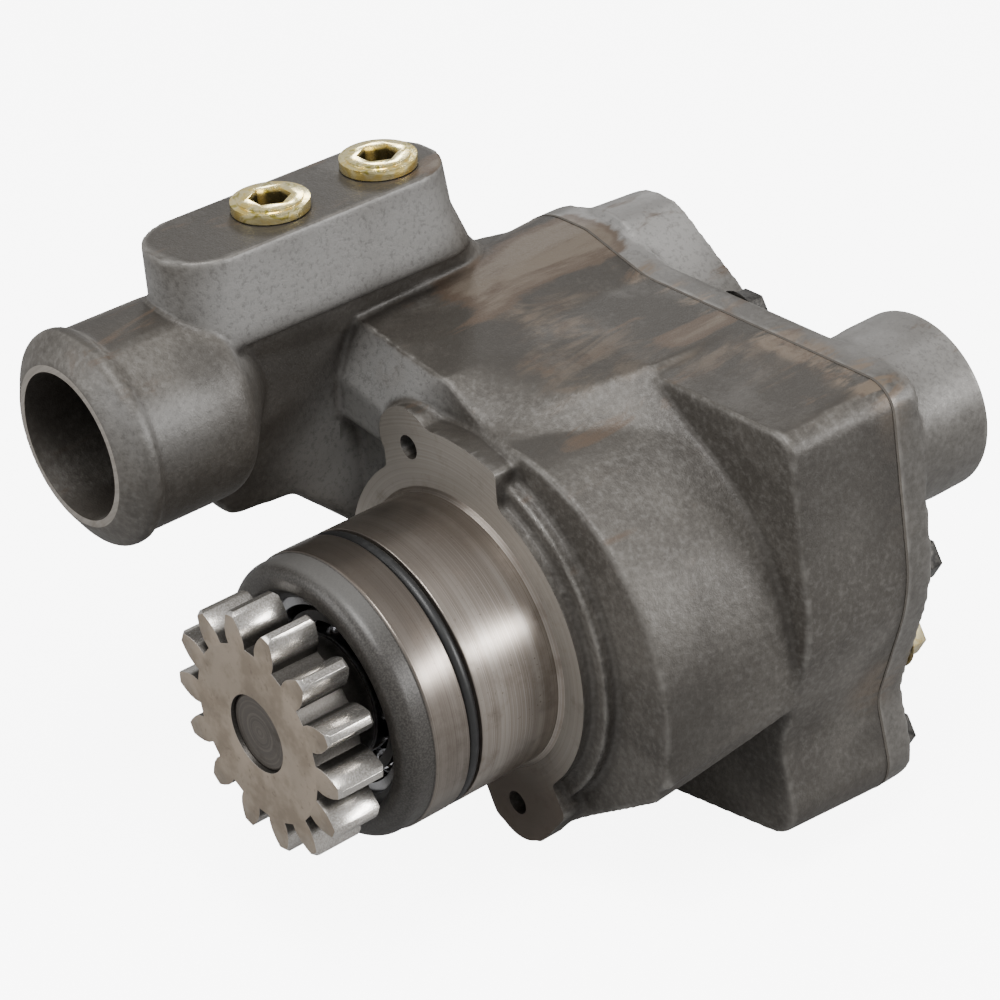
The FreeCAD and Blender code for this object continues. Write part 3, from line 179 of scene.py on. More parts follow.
# Sand-cast iron: mottled grain, painted shade in hollows, on lower sides and behind the neck, edges lighter
# from rubbed wear and a painted highlight, pale patches that are partly painted light, and rust where water
# lay.
def castIron(name, look):
    paint = Paint(name)
    facing = paint.facing()
    across, along, height = paint.parts(paint.place)
    upward = paint.step(facing[2], 0.35, 0.9)
    grain = paint.noise(look["grain"], 3.0, 0.6)
    mottle = paint.noise(look["mottle"], 3.0, 0.55)
    cloud = paint.noise(look["cloud"], 5.0, 0.62)
    bend = paint.attribute("bend")
    colour = paint.mix(look["dark"], look["mid"], paint.step(cloud, 0.32, 0.68))
    # Pale patches: partly paler iron, partly painted light where the lamps leave the faces dark.
    upright = paint.step(facing[2], look["paleBelow"], look["paleBelow"] - 0.3)
    for point, reach, strength in look["paleSpots"]:
        colour = paint.mix(colour, look["pale"], paint.near(point, reach) * upright * strength)
    colour = paint.mix(colour, look["bright"], paint.step(mottle, 0.46, 0.74) * look["specks"])
    pores = paint.step(mottle * 0.6 + grain * 0.4, 0.52, 0.34)
    colour = paint.mix(colour, look["soot"], pores * look["pored"])
    # Painted shadow spots behind the hose neck, under the block.
    for point, reach, strength in look["sootSpots"]:
        colour = paint.mix(colour, look["soot"], paint.near(point, reach) * strength)
    film = paint.step(facing[2], 0.9, 0.975) * paint.step(cloud + (mottle - 0.5) * 0.3, 0.3, 0.5)
    colour = paint.mix(colour, look["film"], film * look["filmed"])
    # Painted shade: side and downward faces darker below a height, less on front faces and near the spots
    # kept unshaded.
    frontward = paint.step(facing[1], -0.4, -0.8)
    sideShadeMask = paint.step(facing[2], 0.72, 0.05) * (1 - frontward * 0.8)
    sideShadeMask = sideShadeMask * paint.step(height, look["sootTop"] * mm, (look["sootTop"] - 8) * mm)
    for point, reach in look["cleanSpots"]:
        sideShadeMask = sideShadeMask * (1 - paint.near(point, reach) * 0.85)
    colour = paint.mix(colour, look["soot"], sideShadeMask * look["sooted"])
    # Painted shade in the hollows.
    hollow = paint.step(bend, look["hollowFrom"], look["hollowTo"])
    colour = paint.mix(colour, look["soot"], hollow * look["hollowed"])
    # Edges lighter: partly rubbed wear, partly a painted highlight.
    ridge = paint.step(bend, look["wearFrom"], look["wearTo"]) * paint.step(paint.noise(9.0, 4.0), 0.3, 0.7)
    colour = paint.mix(colour, look["rubbed"], ridge * look["worn"])
    stretched = paint.node("ShaderNodeMapping", {}, {"Vector": paint.place, "Scale": (1.0, 0.28, 1.0)})
    streak = paint.noise(look["streak"], 6.0, 0.64, stretched, 0.6)
    rust = paint.step(streak, 0.5, 0.64) * 0.14 * upward
    for point, reach, strength in look["rustSpots"]:
        rust = rust + paint.near(point, reach) * paint.step(streak, 0.38, 0.58) * strength
    beside = along - look["seam"] * mm
    seam = paint.step(beside * beside, (look["seamWidth"] * mm) ** 2, (2 * mm) ** 2)
    seam = seam * paint.step(height, look["seamLow"] * mm, look["seamHigh"] * mm)
    rust = rust + seam * paint.step(streak, 0.44, 0.58) * (upward * 0.6 + 0.15)
    tint = paint.mix(look["rust"], look["clay"], paint.step(paint.noise(7.0, 5.0, 0.65), 0.36, 0.56))
    colour = paint.mix(colour, tint, paint.step(rust, 0.0, 1.0))
    combed = paint.node("ShaderNodeMapping", {}, {"Vector": paint.place, "Scale": (1.0, 0.12, 0.5)})
    lines = paint.noise(look["comb"], 5.0, 0.62, combed, 0.8)
    ragged = (streak - 0.5) * 1.5 + (lines - 0.5) * 0.7
    for middle, half, start, end, strength in look["bands"]:
        aside = across - middle * mm
        band = paint.step(aside * aside, (half * 1.35 * mm) ** 2, (half * 0.4 * mm) ** 2)
        band = band * paint.step(along, (start - 4) * mm, (start + 10) * mm)
        band = band * paint.step(along, (end + 2) * mm, (end - 6) * mm)
        band = band * strength + ragged
        colour = paint.mix(colour, look["rust"], paint.step(band, 0.12, 0.42) * upward * 0.9)
        colour = paint.mix(colour, look["sand"], paint.step(band, 0.45, 0.8) * upward * 0.85)
    normal = paint.bump(paint.noise(look["wave"], 3.0), look["waveDepth"])
    normal = paint.bump(grain * 0.6 + mottle * 0.6, look["grainDepth"], normal)
    roughness = look["roughness"] + (grain - 0.5) * 0.3 - ridge * 0.1 + film * 0.06
    return paint.finish(colour, roughness, look["metallic"], normal)


# A face or band left by a lathe or a mill: fine lines round the shaft, a few stains and painted shade
# towards the bottom.
def machined(name, look):
    paint = Paint(name)
    lines = paint.noise(look["lineSize"], 3.0, 0.6, paint.ringwise())
    stain = paint.noise(9.0, 5.0, 0.62)
    colour = paint.mix(look["dark"], look["bright"], paint.step(lines, 0.3, 0.7))
    colour = paint.mix(colour, look["stain"], paint.step(stain, 0.52, 0.7) * look["stained"])
    fleck = paint.step(paint.noise(0.8, 2.0), 0.64, 0.74)
    colour = paint.mix(colour, look["fleck"], fleck * look["flecked"])
    height = paint.parts(paint.place)[2]
    # Painted shade: darker below a height.
    lowShade = paint.step(height, look["dirtTop"] * mm, (look["dirtTop"] - 30) * mm)
    colour = paint.mix(colour, look["fleck"], lowShade * 0.88)
    roughness = look["roughness"] + (lines - 0.5) * 0.18 + paint.step(stain, 0.5, 0.7) * 0.12
    normal = paint.bump(lines, look["lineDepth"])
    return paint.finish(colour, roughness, look["metallic"], normal)


# Rubber, slightly dusty.
def rubber(name, colour, roughness):
    paint = Paint(name)
    dust = paint.step(paint.noise(4.0, 5.0), 0.5, 0.75)
    shade = paint.mix(colour, tuple(value * 2.4 + 0.02 for value in colour), dust * 0.35)
    normal = paint.bump(paint.noise(0.6, 3.0), 0.02)
    return paint.finish(shade, roughness + dust * 0.12, 0.0, normal)


plugs = {"socketRadius": 5.9, "socketFade": 0.5, "darkFrom": 0.5, "darkTo": 1.6, "broken": 0.25}


# Plugs in yellow zinc plate: polished gold with a drift towards green, with painted shade down in the hex
# socket.
def plugFinish():
    paint = Paint("yellow_zinc")
    drift = paint.noise(5.0, 3.0, 0.5, None, 1.2)
    colour = paint.mix((0.90, 0.69, 0.22), (0.97, 0.86, 0.48), paint.step(drift, 0.35, 0.6))
    colour = paint.mix(colour, (0.55, 0.46, 0.11), paint.step(drift, 0.55, 0.68))
    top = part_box("port_plugs")[1].z
    across, along, height = paint.parts(paint.place)
    # Painted shade down in each hex socket, deeper below the top.
    deep = paint.step(height, top - plugs["darkFrom"] * mm, top - plugs["darkTo"] * mm)
    edge = plugs["socketRadius"] * mm
    socket = 0.0
    for x, y in plugCentres():
        aside = across - x
        behind = along - y
        away = (aside * aside + behind * behind) ** 0.5
        socket = socket + paint.step(away, edge + plugs["socketFade"] * mm, edge)
    colour = paint.mix(colour, (0.05, 0.038, 0.018), socket * deep * 0.9)
    dull = paint.step(paint.noise(1.6, 4.0), 0.5, 0.7)
    normal = paint.bump(paint.noise(0.5, 3.0), 0.008)
    return paint.finish(colour, 0.16 + dull * 0.12, 0.9, normal)


# The middle of each plug, from the two ends of their common box.
def plugCentres():
    low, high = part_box("port_plugs")
    middle = (low.x + high.x) / 2
    radius = (high.x - low.x) / 2
    return [(middle, low.y + radius), (middle, high.y - radius)]


screws = {"yellow": (72.0, -14.0), "yellowReach": 10.0, "broken": 0.25}  # x and z of the yellow one


# Cover screws: oiled black heads, and one in yellow zinc.
def screwFinish():
    paint = Paint("cover_screw")
    mottle = paint.noise(1.5, 4.0)
    black = paint.mix((0.020, 0.019, 0.018), (0.075, 0.070, 0.064), paint.step(mottle, 0.35, 0.7))
    yellow = paint.mix((0.62, 0.47, 0.20), (0.74, 0.64, 0.38), paint.step(mottle, 0.35, 0.6))
    reach = screws["yellowReach"] * mm
    zinc = paint.step(paint.radius(*screws["yellow"]), reach, reach - 0.5 * mm)
    return paint.finish(paint.mix(black, yellow, zinc), 0.42 - zinc * 0.12, 0.7 + zinc * 0.3)


# Plain metal of the smaller parts, with a slight mottle.
def smallMetal(name, colour, roughness, metallic):
    paint = Paint(name)
    grain = 1.2
    mottle = paint.noise(grain * 3, 4.0)
    shade = paint.mix(tuple(value * 0.78 for value in colour), colour, paint.step(mottle, 0.35, 0.65))
    normal = paint.bump(paint.noise(grain * 0.4, 3.0), 0.008)
    return paint.finish(shade, roughness + (mottle - 0.5) * 0.2, metallic, normal)


# Spots are a place, its reach and a strength; bands are x, half a width, y from, y to and a strength.
castLook = {
    "dark": (0.060, 0.053, 0.045), "mid": (0.114, 0.104, 0.091), "bright": (0.22, 0.21, 0.195),
    "soot": (0.022, 0.018, 0.014), "rubbed": (0.27, 0.258, 0.238), "film": (0.030, 0.025, 0.0195),
    "rust": (0.078, 0.054, 0.037), "clay": (0.13, 0.100, 0.073), "sand": (0.128, 0.104, 0.079),
    "pale": (0.235, 0.230, 0.221), "paleBelow": 0.7, "filmed": 0.86, "specks": 0.26,
    "grain": 0.55, "mottle": 1.6, "cloud": 30.0, "streak": 9.0, "comb": 4.5,
    "grainDepth": 0.14, "wave": 6.0, "waveDepth": 0.2, "roughness": 0.5, "metallic": 0.2,
    # Painted shade on lower sides and in hollows, and edges lighter from wear and a painted highlight, are
    # set here.
    "sootTop": 92.0, "sooted": 0.6, "pored": 0.34, "wearFrom": 110.0, "wearTo": 300.0, "worn": 0.5,
    "hollowFrom": -30.0, "hollowTo": -160.0, "hollowed": 0.45,
    "seam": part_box("cover_gasket")[0].y / mm, "seamWidth": 8, "seamLow": -60, "seamHigh": 60,
    # Next: pale patches that are partly painted light, spots of painted shadow, and spots kept free of
    # painted shade.
    "paleSpots": [((-38, -30, 98), 26, 0.95), ((-38, -5, 98), 28, 0.95), ((-38, 22, 98), 24, 0.95),
                  ((-28, 2, 60), 28, 1.0), ((-32, -64, 84), 24, 0.6), ((-49, 2, 38), 34, 0.9),
                  ((-60, -44, 100), 18, 0.8)],
    "cleanSpots": [((-49, 0, 32), 36), ((86, 62, 0), 50)],
    "sootSpots": [((-49, -24, 62), 24, 0.75), ((-49, -8, 70), 16, 0.6), ((-34, -50, 88), 12, 0.5)],
    "rustSpots": [((-14, 48, 73), 22, 0.5), ((38, 66, 72), 22, 0.4), ((70, 82, 66), 16, 0.8),
                  ((-30, 8, 66), 10, 0.3), ((10, 40, 70), 26, 0.4), ((74, 76, 38), 7, 0.8),
                  ((-60, 40, 96), 9, 0.6), ((78, 79, -20), 16, 0.5), ((60, 80, -52), 14, 0.5)],
    "bands": [(-36.0, 12.0, 30.0, 88.0, 0.8), (21.0, 4.5, 54.0, 84.0, 0.62)],
}
# The lid's pale patches are partly painted light, and its lower sides get less painted shade.
coverLook = dict(
    castLook, dark=(0.078, 0.072, 0.064), mid=(0.125, 0.117, 0.106), pale=(0.38, 0.372, 0.36),
    paleBelow=1.6, filmed=0.35, specks=0.2, grainDepth=0.07, roughness=0.45, sooted=0.25,
    paleSpots=[((58, 106, 72), 32, 0.35), ((-30, 98, 80), 38, 0.55)])
flangeLook = {
    "dark": (0.24, 0.217, 0.190), "bright": (0.32, 0.292, 0.258), "stain": (0.13, 0.108, 0.088),
    "stained": 0.35, "fleck": (0.08, 0.06, 0.045), "flecked": 0.15, "lineSize": 0.6,
    "lineDepth": 0.006, "roughness": 0.5, "metallic": 0.45, "dirtTop": -14.0,
}
shaftLook = dict(
    flangeLook, dark=(0.09, 0.079, 0.068), bright=(0.15, 0.132, 0.115), stain=(0.06, 0.05, 0.04),
    stained=0.5, flecked=0.5, lineSize=0.8, roughness=0.42, metallic=0.8, dirtTop=-200.0,
    broken=0.3)


def linkObject(name, mesh, materials):
    piece = bpy.data.objects.new(name, mesh)
    bpy.context.scene.collection.objects.link(piece)
    for material in materials:
        mesh.materials.append(material)
    return piece


def fromBmesh(bm, name, materials, sharpAngle=35.0):
    mesh = bpy.data.meshes.new(name)
    bm.to_mesh(mesh)
    bm.free()
    for face in mesh.polygons:
        face.use_smooth = True
    mesh.set_sharp_from_angle(angle=math.radians(sharpAngle))
    return linkObject(name, mesh, materials)


# A copy of a CAD node's mesh, with its loose triangles joined.
def cadCopy(node):
    bm = bmesh.new()
    bm.from_mesh(frame["nodes"][node].data)
    bmesh.ops.remove_doubles(bm, verts=bm.verts, dist=weld)
    return bm


def axisDistance(point, x=0.0, z=0.0):  # from a line along Y
    return math.hypot(point.x - x, point.z - z)


# Cuts the given faces where they meet a plane; clear takes away what lies outside it.
def cutAlong(bm, faces, point, outward, clear):
    geometry = set(faces)
    for face in faces:
        geometry.update(face.edges)
        geometry.update(face.verts)
    result = bmesh.ops.bisect_plane(bm, geom=list(geometry), dist=weld / 2, plane_co=point,
                                    plane_no=outward, clear_outer=clear)
    return result["geom_cut"]


# Cuts part of a mesh off along a plane and closes the cut.
def sawOff(bm, faces, point, outward):
    cutLine = cutAlong(bm, faces, point, outward, True)
    rim = [item for item in cutLine if isinstance(item, bmesh.types.BMEdge) and item.is_boundary]
    bmesh.ops.triangle_fill(bm, edges=rim, use_beauty=True, use_dissolve=False, normal=outward)


# Mills the stock in front of a plane down to it; the milled faces get the second material.
def millFlat(bm, faces, point, outward):
    cutAlong(bm, faces, point, outward, False)
    plane = Vector(point)
    facing = Vector(outward)
    flat = 0.003 * mm
    region = set(vertex for face in faces if face.is_valid for vertex in face.verts)
    for vertex in list(region):  # and the vertices next to them
        region.update(edge.other_vert(vertex) for edge in vertex.link_edges)
    for vertex in region:
        proud = (vertex.co - plane).dot(facing)
        if proud > 0:
            vertex.co -= facing * proud
    bmesh.ops.dissolve_degenerate(bm, dist=touch, edges=bm.edges)
    for face in bm.faces:
        if all(abs((vertex.co - plane).dot(facing)) < flat for vertex in face.verts):
            face.material_index = 1


# Remeshes a piece as a casting: every edge gets a soft radius, and smoothing fades where a pattern maker
# would have held an edge.
def castingFrom(bm, name, settings, hold=None, blend=None):
    mesh = bpy.data.meshes.new(name + "_pattern")
    bm.to_mesh(mesh)
    bm.free()
    pattern = bpy.data.objects.new(name + "_pattern", mesh)
    bpy.context.scene.collection.objects.link(pattern)
    remesh = pattern.modifiers.new("grid", "REMESH")
    remesh.mode = "VOXEL"
    remesh.voxel_size = settings["voxel"] * mm
    casting = evaluated(pattern)
    smoothed(casting, "soften", settings["softening"], hold)
    if blend:
        smoothed(casting, "melt", settings["melting"], blend)
    thin = casting.modifiers.new("thin", "DECIMATE")
    thin.ratio = min(1.0, settings["triangles"] / (2 * len(casting.data.polygons)))
    finished = evaluated(casting)
    result = bmesh.new()
    result.from_mesh(finished.data)
    bpy.data.objects.remove(finished)
    return result


# Adds smoothing turns, with the share of each vertex given by a function of its place.
def smoothed(piece, name, turns, share=None):
    modifier = piece.modifiers.new(name, "SMOOTH")
    modifier.factor = 0.5
    modifier.iterations = turns
    if share:
        group = piece.vertex_groups.new(name=name)
        for vertex in piece.data.vertices:
            group.add([vertex.index], share(vertex.co), "REPLACE")
        modifier.vertex_group = name


# Swaps an object for one whose modifiers are applied.
def evaluated(piece):
    view = bpy.context.evaluated_depsgraph_get()
    mesh = bpy.data.meshes.new_from_object(piece.evaluated_get(view))
    done = bpy.data.objects.new(piece.name + "_done", mesh)
    bpy.context.scene.collection.objects.link(done)
    bpy.data.objects.remove(piece)
    return done


# Stores how strongly each vertex bends: above 0 on an edge, below 0 in a hollow, in 1/metre.
def storeBend(mesh):
    count = len(mesh.vertices)
    places = np.empty(count * 3)
    mesh.vertices.foreach_get("co", places)
    places = places.reshape(-1, 3)
    normals = np.empty(count * 3)
    mesh.vertices.foreach_get("normal", normals)
    normals = normals.reshape(-1, 3)
    edges = np.empty(len(mesh.edges) * 2, dtype=np.int64)
    mesh.edges.foreach_get("vertices", edges)
    first, second = edges.reshape(-1, 2).T
    run = places[first] - places[second]
    shortest = 0.3 * mm
    square = np.maximum((run ** 2).sum(1), shortest ** 2)
    bends = np.zeros(count)
    shares = np.zeros(count)
    for end, sign in ((first, 1.0), (second, -1.0)):
        np.add.at(bends, end, 2 * sign * (normals[end] * run).sum(1) / square)
        np.add.at(shares, end, 1.0)
    bends /= np.maximum(shares, 1.0)
    for turn in range(5):
        total = bends.copy()
        np.add.at(total, first, bends[second])
        np.add.at(total, second, bends[first])
        bends = total / (shares + 1.0)
    layer = mesh.attributes.new("bend", "FLOAT", "POINT")
    layer.data.foreach_set("value", bends.astype(np.float32))


housing = {
    "voxel": 0.9, "softening": 6, "melting": 40, "triangles": 190000, "stock": 2.5,
    "jointY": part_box("cover_gasket")[0].y, "flangeLeft": -48.9, "flangeReach": 66.0, "flangeBack": 3.0,
    "nose": 41.0, "noseBack": 8.0, "neckEnd": -46.0, "neckSoftness": 0.12, "rimSoftness": 0.45,
    "rimReach": 64.0, "rimBack": 7.0, "holeGuard": 6.5, "holeBack": 24.0, "holeAngle": 109.9,
    "holeCatch": 0.7, "lipWidth": 1.9, "lipCatch": 1.2, "webRight": -46.0, "webTop": 50.0,
    "webBack": 38.0, "webFront": -44.0, "webReach": 45.0, "webFade": 6.0,
}


# Centres of the two mounting holes, as x and z.
def mountSpots():
    circle = mounts["flange_bolts"]["dims"]["pcd_mm"] / 2
    angle = math.radians(housing["holeAngle"])
    x, z = circle * math.cos(angle) * mm, circle * math.sin(angle) * mm
    return [(x, z), (-x, -z)]


# The cast body: the register is cut off, stock is added on the machined faces and taken off again after
# the edges are softened, so that those faces end in a crisp line.
def buildHousing(materials):
    bm = cadCopy("pump_housing")
    stock = housing["stock"] * mm
    reach = housing["nose"] * mm
    register = [face for face in bm.faces if all(axisDistance(vertex.co) < reach for vertex in face.verts)
                and face.calc_center_median().y < housing["noseBack"] * mm]
    sawOff(bm, register, (0, -stock, 0), (0, -1, 0))
    for vertex in bm.verts:
        if abs(vertex.co.y) < touch and vertex.co.x > housing["flangeLeft"] * mm:
            vertex.co.y = -stock
        elif abs(vertex.co.y - housing["jointY"]) < touch:
            vertex.co.y += stock
    bmesh.ops.remove_doubles(bm, verts=bm.verts, dist=weld)
    spots = mountSpots()

    # The share of the smoothing that each place gets: least on the drilled ears and the neck's mouth.
    def hold(point):
        if point.y < housing["neckEnd"] * mm:
            return housing["neckSoftness"]
        guard = housing["holeGuard"] * mm
        if point.y < housing["noseBack"] * mm and min(axisDistance(point, x, z) for x, z in spots) < guard:
            return 0.0
        if point.y < housing["rimBack"] * mm and axisDistance(point) < housing["rimReach"] * mm:
            return housing["rimSoftness"]
        return 1.0

    # The web under the hose neck, which runs out into the wall.
    def blend(point):
        x, y, z = (value / mm for value in point)
        inside = min(housing["webRight"] - x, housing["webTop"] - z, housing["webBack"] - y,
                     y - housing["webFront"], axisDistance(point) / mm - housing["webReach"])
        return min(1.0, max(0.0, inside / housing["webFade"]))

    cast = castingFrom(bm, "housing_casting", housing, hold, blend)
    trueHoles(cast, spots, mounts["flange_bolts"]["dims"]["hole_r_mm"] * mm)
    trueMouth(cast)
    flange = []
    for face in cast.faces:
        middle = face.calc_center_median()
        if (-stock - mm < middle.y < housing["flangeBack"] * mm and middle.x > housing["flangeLeft"] * mm
                and axisDistance(middle) < housing["flangeReach"] * mm):
            flange.append(face)
    millFlat(cast, flange, (0, 0, 0), (0, -1, 0))
    rear = [face for face in cast.faces if face.calc_center_median().y > housing["jointY"] - 2 * mm]
    millFlat(cast, rear, (0, housing["jointY"], 0), (0, 1, 0))
    piece = fromBmesh(cast, "housing_casting", materials, sharpAngle=50.0)
    storeBend(piece.data)
    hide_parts("pump_housing")
    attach(piece, "casing")
    print("housing casting", len(piece.data.polygons))


# Puts the walls of the drilled holes on their true radius.
def trueHoles(bm, spots, radius):
    catch = housing["holeCatch"] * mm
    for vertex in bm.verts:
        for x, z in spots:
            away = axisDistance(vertex.co, x, z)
            if abs(away - radius) < catch and vertex.co.y < housing["holeBack"] * mm:
                vertex.co.x = x + (vertex.co.x - x) * radius / away
                vertex.co.z = z + (vertex.co.z - z) * radius / away


# Puts the hose neck's bore and the rim round it on their true radius and plane; the rim is bare metal.
def trueMouth(bm):
    bore = mounts["inlet_bore"]
    radius = bore["dims"]["r_mm"] * mm
    x, z = bore["pos_m"][0], bore["pos_m"][2]
    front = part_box("pump_housing")[0].y
    lip = radius + housing["lipWidth"] * mm
    catch = housing["lipCatch"] * mm
    for vertex in bm.verts:
        if vertex.co.y > housing["neckEnd"] * mm:
            continue
        away = axisDistance(vertex.co, x, z)
        target = away
        if away < lip + catch / 2 and vertex.co.y < front + catch + 0.1 * mm:
            vertex.co.y = front
            if away > lip - catch / 2:
                target = lip
        if abs(away - radius) < catch:
            target = radius
        vertex.co.x = x + (vertex.co.x - x) * target / away
        vertex.co.z = z + (vertex.co.z - z) * target / away
    for face in bm.faces:
        if all(vertex.co.y < front + touch for vertex in face.verts):
            face.material_index = 1


cover = {
    "voxel": 1.0, "softening": 7, "triangles": 150000, "stock": 2.5,
    "frontY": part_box("rear_cover")[0].y, "tubeEnd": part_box("rear_cover")[1].y,
}


# The cast lid, made the same way as the housing.
def buildCover(materials):
    bm = cadCopy("rear_cover")
    stock = cover["stock"] * mm
    for vertex in bm.verts:
        if abs(vertex.co.y - cover["frontY"]) < touch:
            vertex.co.y -= stock
        elif abs(vertex.co.y - cover["tubeEnd"]) < touch:
            vertex.co.y += stock
    cast = castingFrom(bm, "cover_casting", cover)
    for end, outward in ((cover["frontY"], -1), (cover["tubeEnd"], 1)):
        close = [face for face in cast.faces if (face.calc_center_median().y - end) * outward > -2 * mm]
        millFlat(cast, close, (0, end, 0), (0, outward, 0))
    piece = fromBmesh(cast, "cover_casting", materials, sharpAngle=50.0)
    storeBend(piece.data)
    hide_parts("rear_cover")
    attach(piece, "casing")
    print("cover casting", len(piece.data.polygons))


def roundOff(bm, edges, width, segments):  # width in millimetres
    bmesh.ops.bevel(bm, geom=edges, offset=width * mm, offset_type="OFFSET", segments=segments,
                    profile=0.5, affect="EDGES", material=-1, clamp_overlap=True)


# Turns a closed profile about the shaft axis; corners are (radius, y, rounding) in millimetres.
def turnedPiece(name, corners, steps, materials):
    bm = bmesh.new()
    points = [bm.verts.new((radius * mm, y * mm, 0)) for radius, y, rounding in corners]
    for index, point in enumerate(points):
        bm.edges.new((points[index - 1], point))
    bmesh.ops.spin(bm, geom=bm.verts[:] + bm.edges[:], axis=(0, 1, 0), cent=(0, 0, 0),
                   angle=2 * math.pi, steps=steps, use_merge=True)
    bmesh.ops.remove_doubles(bm, verts=bm.verts, dist=weld)
    bmesh.ops.recalc_face_normals(bm, faces=bm.faces)
    for radius, y, rounding in corners:
        if rounding:
            ring = [edge for edge in bm.edges if all(
                abs(axisDistance(vertex.co) - radius * mm) < touch and abs(vertex.co.y - y * mm) < touch
                for vertex in edge.verts)]
            roundOff(bm, ring, rounding, 4 if rounding < 1.5 else 10)
    return fromBmesh(bm, name, materials, sharpAngle=40.0)


nose = {
    "length": 50.7, "castLength": 8.0, "castInset": 0.6, "rounding": 4.2, "mouth": 1.5,
    "pilot": mounts["pilot"]["dims"]["r_mm"], "turns": 220, "grooveRoom": 0.335, "foot": 1.2,
    "sunk": 0.6, "wall": 6.0, "shoulder": 2.0, "snapPlay": 0.1, "oiledFrom": -28.0, "oiledTo": -31.0,
}


# The register in front of the flange: cast nose ring, O-ring groove and the ground band.
def buildNose(materials):
    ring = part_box("pilot_o_ring")
    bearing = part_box("front_bearing_outer_ring")
    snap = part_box("snap_ring")
    pilot = nose["pilot"]
    front = -nose["length"]
    band = front + nose["castLength"]
    section = (ring[1].y - ring[0].y) / mm / 2
    middle = (ring[1].y + ring[0].y) / mm / 2
    floor = ring[1].x / mm - 2 * section
    seat = bearing[1].x / mm
    groove = section + nose["grooveRoom"]
    foot, sunk, inner = pilot + nose["foot"], nose["sunk"], seat - nose["wall"]
    stop = seat + nose["shoulder"]
    snapFront = snap[0].y / mm - nose["snapPlay"]
    piece = turnedPiece("register", [
        (pilot - nose["castInset"], front, nose["rounding"]),
        (pilot - nose["castInset"], band, 0.0),
        (pilot, band + nose["castInset"], 0.25),
        (pilot, middle - groove, 0.35),
        (floor, middle - groove, 0.3),
        (floor, middle + groove, 0.3),
        (pilot, middle + groove, 0.35),
        (pilot, -nose["foot"], 0.0),
        (foot, 0.0, 0.0),
        (foot, sunk, 0.0),
        (inner, sunk, 0.0),
        (inner, bearing[1].y / mm, 0.0),
        (seat, bearing[1].y / mm, 0.0),
        (seat, bearing[0].y / mm, 0.0),
        (stop, bearing[0].y / mm, 0.0),
        (stop, snapFront, 0.0),
        (seat, snapFront, 0.2),
        (seat, front + nose["mouth"], 0.0),
        (seat + nose["mouth"], front, 0.5),
    ], nose["turns"], materials)
    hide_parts("pump_housing")
    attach(piece, "casing")
    print("register", len(piece.data.polygons))


# A CAD shape with its flat faces joined and its sharp edges broken.
def brokenEdges(node, name, body, width, material, angle=28.0):
    bm = cadCopy(node)
    flat = math.radians(0.6)
    bmesh.ops.dissolve_limit(bm, angle_limit=flat, verts=bm.verts, edges=bm.edges)
    sharp = [edge for edge in bm.edges if edge.is_manifold and edge.calc_face_angle() > math.radians(angle)]
    roundOff(bm, sharp, width, 2)
    piece = fromBmesh(bm, name, [material])
    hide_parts(node)
    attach(piece, body)
    print(name, len(piece.data.polygons))


# Gives CAD nodes that show as they are their material.
def dress(nodes, material):
    for node in nodes:
        piece = frame["nodes"][node]
        piece.data.materials.clear()
        piece.data.materials.append(material)


# The nose ring is as cast, the groove and the band are turned; on up-facing faces the band is darker and
# the cast ring has painted light.
def registerFinish():
    paint = Paint("register_steel")
    along = paint.parts(paint.place)[1]
    ringwise = paint.ringwise()
    lines = paint.noise(0.32, 3.0, 0.6, ringwise)
    wide = paint.noise(2.4, 2.0, 0.5, ringwise)
    stain = paint.noise(12.0, 5.0, 0.62)
    cut = paint.step(lines * 0.6 + wide * 0.4, 0.35, 0.65)
    colour = paint.mix((0.25, 0.214, 0.182), (0.43, 0.388, 0.346), cut)
    colour = paint.mix(colour, (0.13, 0.102, 0.080), paint.step(stain, 0.48, 0.7) * 0.5)
    # Up-facing faces of the turned band darker.
    topFacing = paint.step(paint.facing()[2], 0.66, 0.95)
    colour = paint.mix(colour, (0.14, 0.118, 0.098), topFacing * 0.6)
    fleck = paint.step(paint.noise(1.1, 2.0), 0.68, 0.76)
    colour = paint.mix(colour, (0.11, 0.085, 0.065), fleck * 0.55)
    oiled = paint.step(along, nose["oiledFrom"] * mm, nose["oiledTo"] * mm)
    colour = paint.mix(colour, (0.10, 0.082, 0.067), oiled * 0.5)
    castEnd = nose["castLength"] - nose["length"]
    raw = paint.step(along, (castEnd + 0.5) * mm, (castEnd + 0.1) * mm)
    grain = paint.step(paint.noise(0.5, 3.0), 0.35, 0.7)
    cast = paint.mix((0.028, 0.025, 0.022), (0.064, 0.059, 0.053), grain)
    # Painted light: the top of the cast nose ring lighter.
    cast = paint.mix(cast, (0.15, 0.146, 0.138), topFacing * 0.6)
    colour = paint.mix(colour, cast, raw)
    roughness = 0.30 + (lines - 0.5) * 0.16 + paint.step(stain, 0.5, 0.7) * 0.1 + raw * 0.12
    height = lines * 0.006 * (1 - raw) + paint.noise(0.6, 3.0) * 0.03 * raw
    normal = paint.bump(height, 1.0)
    metallic = 0.88 - raw * 0.68
    return paint.finish(colour, roughness, metallic, normal)


gear = {"rootRadius": 28.0, "rootFade": 2.4, "broken": 0.45, "sharp": 30.0}


